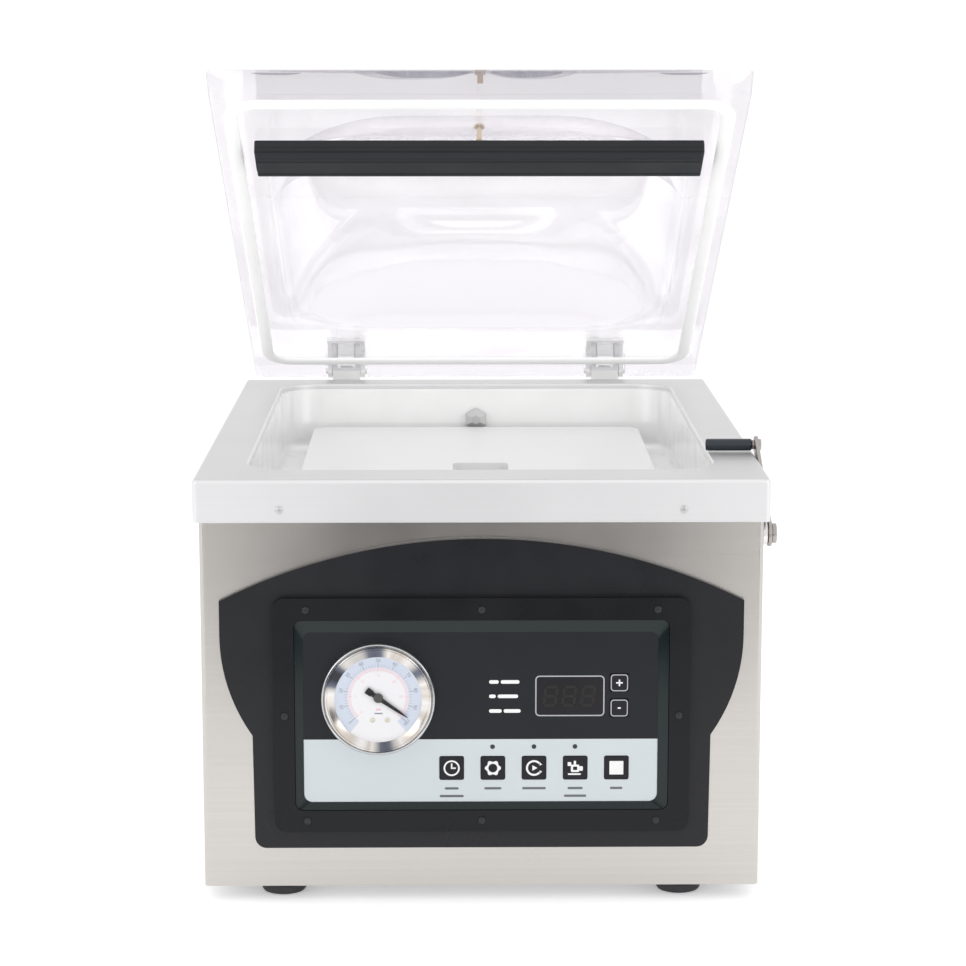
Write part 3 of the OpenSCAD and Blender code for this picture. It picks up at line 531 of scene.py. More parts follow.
def chamber_pan():
    """The drawn pan of the chamber: upright walls, large corners and a small radius all round its floor."""
    foot, sheet = 8 * MM, 1.4 * MM
    floor = CHAMBER_FLOOR - 0.05 * MM

    def ring(grow, z):
        half_w, half_d = (h + grow for h in CHAMBER_HALF)
        return level(rounded_rect(half_w, half_d, max(CHAMBER_R + grow, 4 * MM), 12, CHAMBER_MID), z)

    rings = [ring(-foot, floor)]
    rings += [ring(-foot + foot * sin(a), floor + foot * (1 - cos(a))) for a in arc_steps(10, 90, 8)]
    rings += [ring(0, CHAMBER_TOP), ring(sheet, CHAMBER_TOP), ring(sheet, floor - sheet)]
    put(skin("chamber_pan", rings, "tub"), "cabinet", "polished_tub", "chamber_tub")


# ---------- lid ----------

RIM_MID = (0, 0.01625)
RIM_HALF = (0.1657, 0.21575)
RIM_FLARE = 2.2 * MM
RIM_LOW = 0.265
RIM_T = 0.017
RIM_TOP = RIM_LOW + RIM_T
DOME_MID = (0, 0.034)
DOME_HALF = (0.132, 0.140)
DOME_WALL = 10 * MM
LID_STEPS = 16
# A clear piece is kept from darkening what is behind it, and from showing in polished steel.
CLEAR_RAYS = ("diffuse", "glossy", "shadow")


def dome_loop(half, out, corner, z):
    return level(rounded_rect(half[0] + out, half[1] + out, corner, LID_STEPS, DOME_MID), z)


def dome_rings(half, inset, height, corner, start, steps):
    """Rings of a pillow-shaped dome, from its foot to its top, its sides a quarter of an ellipse."""
    return [dome_loop(half, -inset * (1 - cos(a)), corner - 13 * MM * sin(a) ** 2, RIM_LOW + height * sin(a))
            for a in arc_steps(start, 90, steps)]


def rim_loop(inset, z):
    flare = RIM_FLARE * (z - RIM_LOW) / RIM_T
    half_w, half_d = RIM_HALF[0] + flare - inset, RIM_HALF[1] + flare / 2 - inset
    mid = (RIM_MID[0], RIM_MID[1] - flare / 2)
    return level(rounded_rect(half_w, half_d, 4 * MM - inset, LID_STEPS, mid), z)


def lid_acrylic():
    """The lid in one clear casting: a thick flat rim, and a soft pillow-shaped dome that is hollow below."""
    edge, mouth, fillet = 1.2 * MM, 5 * MM, 8 * MM
    outer_half = [h + DOME_WALL for h in DOME_HALF]
    outer_inset, outer_height, outer_corner = 82 * MM, 62.5 * MM, 68 * MM
    inner_inset, inner_height, inner_corner = 72 * MM, 52.5 * MM, 58 * MM
    start = 19.5
    grow = outer_inset * (1 - cos(radians(start)))
    foot_z = RIM_LOW + outer_height * sin(radians(start))
    rings = list(reversed(dome_rings(outer_half, outer_inset, outer_height, outer_corner, start, 22)))
    for a in arc_steps(18, 90, 4):
        out = fillet * (1 - cos(a)) - grow
        rings.append(dome_loop(outer_half, out, outer_corner + out, foot_z - (foot_z - RIM_TOP) * sin(a)))
    rings += [rim_loop(edge * (1 - sin(a)), RIM_TOP - edge * (1 - cos(a))) for a in arc_steps(0, 90, 4)]
    rings += [rim_loop(edge * (1 - cos(a)), RIM_LOW + edge * (1 - sin(a))) for a in arc_steps(0, 90, 4)]
    for a in arc_steps(0, 60, 5):
        out = mouth * (1 - sin(a)) * 0.9
        rings.append(dome_loop(DOME_HALF, out, inner_corner + out, RIM_LOW + mouth * (1 - cos(a))))
    rings += dome_rings(DOME_HALF, inner_inset, inner_height, inner_corner, 6.5, 24)
    obj = skin("lid_acrylic", rings, "acrylic", sharp=60.0, weighted=False)
    cut_notches(obj)
    obj.data.transform(OPEN)
    hide_from(obj, *CLEAR_RAYS)
    put(obj, "lid", "clear_acrylic", "lid_shell")


def painted_edge_refractions():
    """Painted refraction: grey tinted strips along the top of the lid's front edge, painted where the counter
    bar's image shows through its depth, and a painted image of the centre screw.
    """
    def on_edge(x, drop):
        """A point on the lid's sloping front face, drop millimetres below its top edge."""
        height = RIM_T - drop * MM
        return x * MM, RIM_MID[1] - RIM_HALF[1] - RIM_FLARE * height / RIM_T - 0.05 * MM, RIM_LOW + height

    # Each strip is a tinted film: painted refraction of the counter bar.
    def painted_refraction(bm, x0, x1, high, low):
        """A strip with ends that taper to points, from high to low millimetres below the top edge."""
        mid, half = (x0 + x1) / 2, (x1 - x0) / 2
        rows = []
        for i in range(25):
            t = -1 + i / 12
            drops = (high, high + (low - high) * (1 - abs(t) ** 3))
            rows.append([bm.verts.new(on_edge(mid + half * t, drop)) for drop in drops])
        for first, second in zip(rows[1:], rows[2:-1]):
            bm.faces.new((first[0], first[1], second[1], second[0]))

    # A painted image of the centre screw, as refracted through the lid's front edge.
    def screw(bm, half, high, low):
        corners = ((-half, high), (half, high), (half, low), (-half, low))
        bm.faces.new([bm.verts.new(on_edge(*corner)) for corner in corners])

    for name, material, draw, places in (
            ("painted_screw_refraction", "painted_screw_refraction", screw, ((3.3, 1.0, 4.2), (1.8, 4.2, 9.6))),
            ("painted_bar_refraction_soft", "painted_refraction_soft", painted_refraction, ((-141, 141, 1.2, 3.4), (-80, -1, 1.4, 7.0),
                                                         (1, 62, 1.4, 6.8))),
            ("painted_bar_refraction", "painted_refraction", painted_refraction, ((-141, -108, 2.6, 4.2), (108, 141, 2.6, 4.2),
                                               (-66, -4, 1.8, 6.0), (5, 52, 1.8, 5.8)))):
        bm = bmesh.new()
        for place in places:
            draw(bm, *place)
        obj = finish_mesh(bm, name, material, weighted=False)
        obj.data.transform(OPEN)
        hide_from(obj, *CLEAR_RAYS)
        put(obj, "lid", "clear_acrylic")


def cut_notches(obj):
    """Cuts away the lid's rear edge where each hinge's knuckles are."""
    bm = bmesh.new()
    for side in (-1, 1):
        x0, x1 = side * HINGE_X - 15.5 * MM, side * HINGE_X + 15.5 * MM
        add_prism(bm, [(x0, 0.2195), (x1, 0.2195), (x1, 0.25), (x0, 0.25)], RIM_LOW - 0.01, RIM_TOP + 0.01)
    carve(obj, bm, 60.0)


def foam_gasket():
    """The white foam seal: a band with a rounded face, laid in a loop under the lid's rim."""
    half, mid = (0.1587, 0.1988), (0, 0.0055)
    width, thick = 9 * MM, RIM_LOW - 0.26235
    profile = [(0, RIM_LOW)]
    profile += [(width / 2 * (1 - cos(a)), RIM_LOW - thick * sin(a) ** 0.6) for a in arc_steps(8, 172, 12)]
    profile += [(width, RIM_LOW)]
    rings = [level(rounded_rect(half[0] - inset, half[1] - inset, 22 * MM - inset, 10, mid), z)
             for inset, z in profile]
    obj = skin("foam_gasket", rings, "foam", close=True)
    obj.data.transform(OPEN)
    put(obj, "lid", "white_foam", "lid_gasket")


# ---------- counter bar, in the lid ----------

BAR_Y = -0.12775
BAR_HALF = 0.1417


def bar_section(name, material, half_l, half_section, node):
    """A bar along X whose section is given as its left half and mirrored, its ends slightly rounded over."""
    outline = [(BAR_Y - dy * MM, z) for dy, z in half_section]
    outline += [(2 * BAR_Y - y, z) for y, z in reversed(outline)]
    mid_y, mid_z = (sum(values) / len(outline) for values in zip(*outline))
    round_off = 0.8 * MM
    rings = []
    for x, shrink in ((-half_l, 0.93), (-half_l + round_off, 1.0), (half_l - round_off, 1.0), (half_l, 0.93)):
        rings.append([(x, mid_y + (y - mid_y) * shrink, mid_z + (z - mid_z) * shrink) for y, z in outline])
    obj = skin(name, rings, material)
    obj.data.transform(OPEN)
    stand_for(obj, node)


def counter_bar_pieces():
    top = RIM_LOW - 0.02 * MM
    step = top - 7.5 * MM
    low = step - 4.6 * MM
    bar_section("counter_holder", "bar", BAR_HALF, [
        (14.2, top), (14.2, step + 3.2 * MM), (13.7, step + 2.7 * MM), (13.7, step + 0.6 * MM), (13.1, step)],
        "counter_bar")
    bar_section("counter_pad_strip", "pad", BAR_HALF - 1 * MM, [
        (12.7, step), (12.7, low + 1.6 * MM), (12.2, low + 0.6 * MM), (11.2, low), (8.8, low),
        (8.4, low + 0.7 * MM), (7.6, low + 0.7 * MM), (7.2, low)], "counter_pad")


# ---------- fasteners ----------

def add_block(bm, half_x, half_y, low, high):
    add_prism(bm, [(-half_x, -half_y), (half_x, -half_y), (half_x, half_y), (-half_x, half_y)], low, high)


def pan_screw(radius, height, shank_r, shank_l, material, recess="cross"):
    """A pan-head screw standing on z = 0, its shank below."""
    centre_line = 0.001 * MM
    profile = [(centre_line, -shank_l), (shank_r * 0.8, -shank_l), (shank_r, -shank_l + shank_r * 0.3),
               (shank_r, 0), (radius, 0), (radius, height * 0.35)]
    profile += [(radius * cos(a), height * (0.35 + 0.65 * sin(a))) for a in arc_steps(18, 90, 5)][:-1]
    profile += [(centre_line, height)]
    screw = skin("screw", turned(profile, 32), material, weighted=False)
    cutter = bmesh.new()
    if recess == "cross":
        size, width, depth = radius * 0.55, radius * 0.11, height * 0.62
        add_block(cutter, size, width, -depth, depth)
        add_block(cutter, width, size, -depth, depth)
        move(cutter, at(0, 0, height))
    elif recess == "slot":
        add_block(cutter, radius * 1.3, radius * 0.13, height * 0.45, height * 1.5)
    else:
        add_prism(cutter, circle(radius * 0.55, 6), height * 0.4, height * 1.5)
    carve(screw, cutter)
    mesh = screw.data
    bpy.data.objects.remove(screw)
    return mesh


def spread_copies(name, mesh, places, node, material):
    """One object that holds a copy of the mesh at each place, standing for a node."""
    bm = bmesh.new()
    for matrix in places:
        before = len(bm.verts)
        bm.from_mesh(mesh)
        bm.verts.ensure_lookup_table()
        bmesh.ops.transform(bm, matrix=matrix, verts=bm.verts[before:])
    stand_for(finish_mesh(bm, name, material, sharp=40.0), node)


FACE_FRONT = Matrix.Rotation(radians(90), 4, "X")
FACE_BACK = Matrix.Rotation(radians(-90), 4, "X")


def turn(i):
    """A different turn for each screw's recess."""
    return Matrix.Rotation(radians(23 + 41 * i), 4, "Z")


def on_wall(places, y, facing):
    """Matrices for screws on an upright face, at places in X and Z."""
    return [at(x, y, z) @ facing @ turn(i) for i, (x, z) in enumerate(places)]


def fasteners():
    low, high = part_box("panel_screws")
    edge, head = 2.2 * MM, 1.1 * MM
    z_low, z_high = low.z + edge, high.z - edge
    x_side = high.x - edge
    places = [(x, z) for x in (-105.4 * MM, 0, 105.4 * MM) for z in (z_low, z_high)]
    places += [(-x_side, (z_low + z_high) / 2), (x_side, (z_low + z_high) / 2)]
    places = on_wall(places, low.y + head, FACE_FRONT)
    mesh = pan_screw(edge, head, 1.25 * MM, 8 * MM, "screw")
    spread_copies("frame_screw_set", mesh, places, "panel_screws", "screw")

    z_front = DECK_TOP - 18.2 * MM
    z_rear = deck_low.z + 9 * MM
    skirt = [(-120.6 * MM, z_front), (120.6 * MM, z_front)]
    rear = [(side * HINGE_X + dx * MM, z_rear) for side in (-1, 1) for dx in (-9, 9)]
    places = on_wall(skirt, deck_low.y, FACE_FRONT)
    places += on_wall(rear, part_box("hinge_brackets")[1].y, FACE_BACK)
    mesh = pan_screw(2.3 * MM, 1.1 * MM, 1.5 * MM, 1.8 * MM, "zinc")
    spread_copies("deck_screw_set", mesh, places, "case_screws", "zinc")

    mesh = pan_screw(3.6 * MM, 2 * MM, 2 * MM, 6 * MM, "zinc")
    places = [(x * MM, z * MM) for x in (-157, 157) for z in (30, 118, 206)]
    places = on_wall(places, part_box("rear_cover")[1].y, FACE_BACK)
    spread_copies("cover_screw_set", mesh, places, "case_screws", "zinc")

    mesh = pan_screw(4.4 * MM, 3 * MM, 2.45 * MM, 18 * MM, "zinc", "hex")
    leaf_top = RIM_TOP + 2.5 * MM
    places = [OPEN @ at(side * HINGE_X + dx * MM, 0.210, leaf_top) for side in (-1, 1)
              for dx in (-8.4, 8.4)]
    spread_copies("leaf_screw_set", mesh, places, "lid_screws", "zinc")
    mesh = pan_screw(3.55 * MM, 2.3 * MM, 1.7 * MM, 21.5 * MM, "brass", "slot")
    places = [OPEN @ at(0, BAR_Y, RIM_TOP) @ turn(1)]
    spread_copies("bar_screw_piece", mesh, places, "lid_screws", "brass")


# ---------- hinges ----------

def add_wire(bm, points, radius, sides=10):
    """A round wire along a line of points."""
    rings = []
    side = None
    for i, point in enumerate(points):
        ahead = Vector(points[min(i + 1, len(points) - 1)]) - Vector(points[max(i - 1, 0)])
        ahead.normalize()
        if side is None:
            side = ahead.orthogonal().normalized()
        side = (side - ahead * side.dot(ahead)).normalized()
        up = ahead.cross(side)
        rings.append([Vector(point) + x * side + y * up for x, y in circle(radius, sides)])
    add_rings(bm, rings)


def hinge_coils():
    wire, coil, turns, steps = 0.75 * MM, 3.8 * MM, 7, 20
    length = 9.8 * MM
    bm = bmesh.new()
    for side in (-1, 1):
        x0 = side * HINGE_X - length / 2
        points = []
        for i in range(turns * steps - 5):
            x = x0 + length * i / (turns * steps)
            a = 2 * pi * i / steps
            points.append((x, HINGE.y + coil * cos(a), HINGE.z - coil * sin(a)))
        x, y, z = points[-1]
        points += [(x, y, z - 2 * MM - i * 4 * MM) for i in range(4)]
        add_wire(bm, points, wire)
    stand_for(finish_mesh(bm, "hinge_coils", "spring", sharp=60.0), "hinge_springs")


# ---------- chamber fittings ----------

def suction_nut():
    """The nut over the suction port: six faces that rise to a low point, and its spigot behind the wall."""
    low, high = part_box("suction_fitting")
    wall = CHAMBER_MID[1] + CHAMBER_HALF[1]
    place = at((low.x + high.x) / 2, wall, (low.z + high.z) / 2) @ FACE_FRONT
    point_r = (high.z - low.z) / 2
    rings = []
    for share, h in ((0.8, 0), (0.93, 0.3), (0.985, 1.0), (1, 2.0), (1, 4.4), (0.965, 5.0), (0.4, 6.0)):
        r = point_r * share
        rings.append([(r * sin(a), r * cos(a), h * MM) for a in arc_steps(0, 300, 5)])
    bm = bmesh.new()
    add_rings(bm, rings)
    move(bm, place)
    nut = finish_mesh(bm, "suction_nut", "zinc", sharp=8.0, weighted=False)
    bm = bmesh.new()
    add_prism(bm, circle(2.2 * MM, 20), -1.5 * MM, 0.3 * MM)
    add_prism(bm, circle(5.9 * MM, 32), -(high.y - wall), 0)
    move(bm, place)
    put(finish_mesh(bm, "suction_spigot", "zinc"), "cabinet", SLOT["suction_fitting"])
    stand_for(nut, "suction_fitting")


def foot_pads():
    low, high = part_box("rubber_feet")
    r, top = 14, high.z / MM
    profile = in_mm([(5, 1.2), (5.3, 0.3), (6, 0), (r - 2.6, 0), (r - 1.2, 0.5), (r - 0.3, 1.8), (r, 3.2),
                     (r, 5.6), (r - 0.7, 6.0), (r - 0.7, 6.6), (r, 7.0), (r, top - 0.4), (r - 0.4, top),
                     (2.6, top), (2.6, 3), (0.01, 3)])
    bm = bmesh.new()
    for x in (low.x + r * MM, high.x - r * MM):
        for y in (low.y + r * MM, high.y - r * MM):
            add_rings(bm, turned(profile, 48, (x, y)))
    stand_for(finish_mesh(bm, "foot_pads", "rubber"), "rubber_feet")


# ---------- lever ----------

def grip_handle():
    low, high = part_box("lever_grip")
    r = (high.z - low.z) / 2
    profile = [(low.x + 2 * MM, 0.78), (low.x + 0.1 * MM, 0.8), (low.x, 0.86), (low.x + 0.5 * MM, 0.97),
               (low.x + 1.2 * MM, 1), (high.x - 1.2 * MM, 1), (high.x - 0.5 * MM, 0.97), (high.x, 0.86),
               (high.x, 0.6)]
    centre = ((low.y + high.y) / 2, (low.z + high.z) / 2)
    rings = [[(x, y, z) for y, z in circle(r * share, 40, centre)] for x, share in profile]
    stand_for(skin("grip_handle", rings, "grip"), "lever_grip")


# ---------- control panel ----------
# Its pieces are drawn lying down, then turned to face the front. The sizes here are in millimetres,
# in X and Z, but for the ink's thickness.

INK = 0.05 * MM
PRINT = (-107.4, 64.5, 106.1, 169.7)        # the printed film: left, bottom, right and top
GREY_TOP = 103.4
LAMPS = (6.5, 31.5, 56.3)
LAMP_HEIGHT = 98.7
KEY_NAMES = ("time", "preset", "marinate", "pump", "stop", "plus", "minus")
KEYS = {name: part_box("key_" + name) for name in KEY_NAMES}


def front_of(low, high):
    """Half the width, half the height and the middle of a box, seen from the front."""
    return (high.x - low.x) / 2, (high.z - low.z) / 2, ((low.x + high.x) / 2, (low.z + high.z) / 2)


def panel_piece(bm, name, material, body="cabinet", slot="overlay_print", nodes=(), lift=0.0):
    move(bm, at(0, PANEL_FRONT - lift, 0) @ FACE_FRONT)
    put(finish_mesh(bm, name, material), body, slot, *nodes)


def box_points(x0, z0, x1, z1, r=0.01, steps=3):
    return in_mm(rounded_rect((x1 - x0) / 2, (z1 - z0) / 2, r, steps, ((x0 + x1) / 2, (z0 + z1) / 2)))


def add_bars(bm, bars, low=0, high=INK):
    for bar in bars:
        add_prism(bm, box_points(*bar), low, high)


def outline_frame(bm, x0, z0, x1, z1, r, line, high):
    inner = box_points(x0 + line, z0 + line, x1 - line, z1 - line, r - line, 6)
    add_frame(bm, box_points(x0, z0, x1, z1, r, 6), inner, 0, high)


def band(bm, r0, r1, a0, a1, low, high, steps):
    """A flat stretch of a ring, between two angles in degrees."""
    out = [(r1 * MM * cos(a), r1 * MM * sin(a)) for a in arc_steps(a0, a1, steps)]
    back = [(r0 * MM * cos(a), r0 * MM * sin(a)) for a in arc_steps(a1, a0, steps)]
    add_prism(bm, out + back, low, high)


def grey_field():
    """The film's grey half, with openings round the keys, the gauge and the lamps."""
    x0, z0, x1, _ = PRINT
    lower = in_mm(rounded_rect((x1 - x0) / 2, 20, 5, 6, ((x0 + x1) / 2, z0 + 20)))
    bm = bmesh.new()
    add_prism(bm, lower[len(lower) // 2:] + in_mm([(x1, GREY_TOP), (x0, GREY_TOP)]), 0, INK)
    obj = finish_mesh(bm, "grey_field", "film_grey")
    gap = 0.3 * MM
    openings = []
    for name in KEY_NAMES[:5]:
        half_w, half_h, mid = front_of(*KEYS[name])
        openings.append(rounded_rect(half_w + gap, half_h + gap, 1.3 * MM, 4, mid))
    openings.append(circle(30.8 * MM, 64, (GAUGE[0] * MM, GAUGE[1] * MM)))
    openings += [circle(1.45 * MM, 16, (x * MM, LAMP_HEIGHT * MM)) for x in LAMPS]
    cutter = bmesh.new()
    for points in openings:
        add_prism(cutter, points, -1 * MM, 1 * MM)
    carve(obj, cutter)
    obj.data.transform(at(0, PANEL_FRONT, 0) @ FACE_FRONT)
    put(obj, "cabinet", "overlay_print")


def panel_rim():
    """The film's bevelled margin, between the print and the frame."""
    half_w, half_h, mid = front_of(*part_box("overlay_sheet"))
    outer = rounded_rect(half_w, half_h, 4.5 * MM, 8, mid)
    inner = box_points(*PRINT, 5, 8)
    rings = [level(outer, -0.2 * MM), level(outer, 1.1 * MM)]
    rings += [level(inner, 0.25 * MM), level(inner, -0.2 * MM)]
    bm = bmesh.new()
    add_rings(bm, rings, close=True)
    panel_piece(bm, "panel_rim", "rim")


def seven_segment(bm, centre, half_w, half_h, bar, slant):
    """A figure eight made of seven bars, leaning to the right."""
    def add_leaning(points):
        add_prism(bm, in_mm([(x + slant * z + centre[0], z + centre[1]) for x, z in points]), 0, INK)

    gap = bar * 0.3
    half, tip = bar / 2, bar / 3
    w = half_w - bar
    for z in (-half_h + half, 0, half_h - half):
        add_leaning([(-w, z - half), (w, z - half), (w + tip, z),
                     (w, z + half), (-w, z + half), (-w - tip, z)])
    for x in (-half_w + half, half_w - half):
        for z0, z1 in ((-half_h + bar, -gap), (gap, half_h - bar)):
            add_leaning([(x - half, z0 + tip), (x, z0), (x + half, z0 + tip),
                         (x + half, z1 - tip), (x, z1), (x - half, z1 - tip)])


def display():
    half_w, half_h, mid = front_of(*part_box("display_window"))
    bm = bmesh.new()
    add_prism(bm, rounded_rect(half_w, half_h, 0.6 * MM, 3, mid), -1.5 * MM, 0)
    panel_piece(bm, "window_pane", "window", slot=SLOT["display_window"], nodes=("display_window",))
    bm = bmesh.new()
    for i in range(3):
        seven_segment(bm, (41.4 + i * 11.3, 130.0), 4.2, 6.5, 1.5, 0.12)
    panel_piece(bm, "ghost_digits", "ghost")
    bm = bmesh.new()
    outline_frame(bm, 32.2, 117.6, 73.9, 142.7, 2.6, 0.75, INK)
    panel_piece(bm, "window_outline", "ink_soft")


def label_marks():
    """Plain bars where the panel has words."""
    x0 = 4.4
    bm = bmesh.new()
    for z, x1, x2 in ((138.9, 10.2, 22.7), (130.0, 8.4, 21.9), (120.9, 12.0, 23.4)):
        add_bars(bm, ((x0, z - 1.1, x1, z + 1.1, 1.0), (x1 + 1.2, z - 1.1, x2, z + 1.1, 1.0)))
    panel_piece(bm, "label_marks", "ink_white")
    bm = bmesh.new()
    for name, widths in zip(KEY_NAMES, ((8.4, 14.6), (10.4,), (14.4,), (9.2, 13.6), (7.6,))):
        x = front_of(*KEYS[name])[2][0] / MM
        for i, width in enumerate(widths):
            z = 72.7 - 4.8 * i
            add_bars(bm, [(x - width / 2, z - 0.75, x + width / 2, z + 0.75, 0.7)], 0, INK * 1.6)
    panel_piece(bm, "caption_marks", "ink_dark")


def key_cap(name):
    """A key's cap with a rounded edge, on its stem."""
    low, high = KEYS[name]
    half_w, half_h, mid = front_of(low, high)
    top = (PANEL_FRONT - low.y) / MM
    rings = []
    for inset, h in ((0, -1.7), (0, top - 0.35), (0.12, top - 0.1), (0.35, top)):
        cut = inset * MM
        corner = (1.0 - inset * 0.5) * MM
        rings.append(level(rounded_rect(half_w - cut, half_h - cut, corner, 5, mid), h * MM))
    bm = bmesh.new()
    add_rings(bm, rings)
    add_prism(bm, circle(2 * MM, 20, mid), PANEL_FRONT - high.y, -1.6 * MM)
    panel_piece(bm, "cap_" + name, "key", "key_" + name, SLOT["key_" + name], ("key_" + name,))


def on_key(bm, name, piece, material):
    """A print on a key's cap, drawn about the key's middle."""
    x, z = front_of(*KEYS[name])[2]
    move(bm, at(x, z, 0))
    panel_piece(bm, piece + name, material, "key_" + name, SLOT["key_" + name],
                lift=PANEL_FRONT - KEYS[name][0].y - INK)


def icon_clock(bm):
    band(bm, 3.9, 4.9, 0, 360, 0, 2 * INK, 40)


def icon_nut(bm):
    outer = []
    for i in range(48):
        a = 2 * pi * i / 48
        outer.append(((4.4 + 0.55 * cos(6 * a)) * cos(a) * MM, (4.4 + 0.55 * cos(6 * a)) * sin(a) * MM))
    add_frame(bm, outer, circle(2.7 * MM, 48), 0, 2 * INK)


def icon_play(bm):
    band(bm, 3.7, 4.9, 42, 318, 0, 2 * INK, 32)
    add_prism(bm, in_mm([(-1.0, -1.7), (2.0, 0), (-1.0, 1.7)]), 0, 2 * INK)
    for side in (-1, 1):
        add_prism(bm, in_mm([(3.2, side * 1.6), (4.9, side * 2.1), (3.6, side * 3.4)])[::side], 0, 2 * INK)


def icon_pump(bm):
    add_frame(bm, box_points(-2.6, -2.6, 2.4, 2.0, 0.6), box_points(-1.3, -1.4, 1.2, 0.8, 0.4), 0, 2 * INK)


# The rest of each pictogram: plain bars, as left, bottom, right, top and corner radius.
ICON_BARS = {
    "time": ((-0.45, -0.45, 0.45, 3.0), (0.3, -0.45, 2.5, 0.45)),
    "pump": ((-4.4, -4.4, 3.4, -3.4, 0.3), (-0.9, 1.9, 0.5, 4.4, 0.3), (-4.6, 1.2, -2.4, 3.6, 0.4),
             (2.3, -1.8, 4.6, 1.0, 0.5)),
    "stop": ((-4.2, -4.2, 4.2, 4.2, 0.2),),
    "plus": ((-2.0, -0.45, 2.0, 0.45), (-0.45, 0.4, 0.45, 2.0), (-0.45, -2.0, 0.45, -0.4)),
    "minus": ((-0.9, -0.45, 0.9, 0.45),),
}
ICON_SHAPES = {"time": icon_clock, "preset": icon_nut, "marinate": icon_play, "pump": icon_pump}


def keys():
    for name in KEY_NAMES:
        key_cap(name)
        bm = bmesh.new()
        if name in ICON_SHAPES:
            ICON_SHAPES[name](bm)
        add_bars(bm, ICON_BARS.get(name, ()), 0, 2 * INK)
        on_key(bm, name, "icon_", "ink_white")
    for name in ("plus", "minus"):
        bm = bmesh.new()
        outline_frame(bm, -5.2, -5.2, 5.2, 5.2, 2.0, 0.6, 2 * INK)
        on_key(bm, name, "ring_", "ink_soft")


def lamps():
    r = 1.35
    profile = in_mm([(r, -1.5), (r, 0.02), (r * 0.8, 0.14), (r * 0.4, 0.19)])
    bm = bmesh.new()
    for x in LAMPS:
        add_rings(bm, turned(profile, 24, (x * MM, LAMP_HEIGHT * MM)))
    panel_piece(bm, "lamp_lenses", "lamp", slot=SLOT["status_lamps"])


# ---------- gauge ----------
# Its pieces are drawn lying down about its axis, then turned to face the front.

ON_GAUGE = at(GAUGE[0] * MM, PANEL_FRONT, GAUGE[1] * MM) @ FACE_FRONT
DIAL_FACE = 1.3             # millimetres in front of the panel
SWEEP = 264.0               # degrees, from the scales' first mark to their last


def lathe(name, profile, material, steps=96, sharp=30.0, close=True):
    """A round piece on the gauge's axis; its profile is radii and heights in millimetres."""
    obj = skin(name, turned(in_mm(profile), steps), material, close, sharp)
    obj.data.transform(ON_GAUGE)
    return obj


def bezel():
    edge = [(32.8, 0.1), (34.5, 0.1), (34.5, 5.6), (34.35, 6.5), (33.9, 7.2), (33.3, 7.45), (32.75, 7.2),
            (32.5, 6.8), (32.3, 6.8)]
    face = [(32.3, 6.95), (32.3, 7.6), (32.05, 8.4), (31.5, 8.85), (30.8, 8.95), (29.9, 8.7), (27.2, 7.45),
            (26.7, 7.2), (26.25, 7.0), (26.25, 6.95)]
    ring = lathe("bezel_ring", edge, "bezel_edge")
    put(ring, "cabinet", SLOT["gauge_bezel"])
    cone = lathe("bezel_cone", face, "chrome", sharp=50.0)
    stand_for(cone, "gauge_bezel")
    hide_from(ring, "diffuse", "shadow")
    hide_from(cone, "diffuse", "shadow")


def mark_piece(bm, name, material):
    obj = finish_mesh(bm, name, material)
    obj.data.transform(ON_GAUGE)
    put(obj, "cabinet", SLOT["gauge_dial"])


def dial_face():
    disc = [(2.65, 0.5), (28.5, 0.5), (28.5, DIAL_FACE), (2.65, DIAL_FACE)]
    stand_for(lathe("dial_plate", disc, "dial"), "gauge_dial")
    for name, material, r0, r1, reach in (("dial_ring", "dial_blue", 18.6, 27.5, 142),
                                          ("dial_band", "dial_pink", 16.4, 18.5, 134)):
        bm = bmesh.new()
        band(bm, r0, r1, 90 - reach, 90 + reach, (DIAL_FACE - 0.1) * MM, (DIAL_FACE + 0.02) * MM, 72)
        mark_piece(bm, name, material)
    scale("scale_black", "tick", 10, 18.7, (3.2, 1.6), (0.32, 0.16))
    scale_numbers("scale_black", "tick", 10, 22.9, 3.0, 10, True)
    scale("scale_red", "tick_red", 6, 18.4, (-2.7, -1.3), (0.3, 0.14))
    scale_numbers("scale_red", "tick_red", 6, 13.6, 2.3, 5, False)
    for name, material, mark in (("unit_mark_red", "tick_red", (-1.6, -8.0, 1.6, -6.9, 0.4)),
                                 ("unit_mark_blue", "tick", (-2.4, -10.3, 2.6, -9.5, 0.3))):
        bm = bmesh.new()
        add_bars(bm, [mark], DIAL_FACE * MM, (DIAL_FACE + 0.04) * MM)
        mark_piece(bm, name, material)
    head = [(1.55, 0), (1.55, 0.3), (1.1, 0.55), (0.3, 0.6)]
    head = in_mm([(r, DIAL_FACE + h) for r, h in head])
    bm = bmesh.new()
    for x in (-3.5, 5.4):
        add_rings(bm, turned(head, 20, (x * MM, -13.9 * MM)))
    mark_piece(bm, "dial_screws", "dial_screw")


def scale(name, material, divisions, r, lengths, widths):
    """A scale's marks, a long one at each division and four short ones between."""
    bm = bmesh.new()
    for i in range(divisions * 5 + 1):
        short = 1 if i % 5 else 0
        a = radians(90 + SWEEP / 2 - SWEEP * i / (divisions * 5))
        half = widths[short] / 2
        along = Vector((cos(a), sin(a)))
        across = Vector((-sin(a), cos(a)))
        r0, r1 = sorted((r, r + lengths[short]))
        corners = [along * r0 - across * half, along * r1 - across * half, along * r1 + across * half,
                   along * r0 + across * half]
        add_prism(bm, in_mm(corners), DIAL_FACE * MM, (DIAL_FACE + 0.05) * MM)
    mark_piece(bm, name, material)


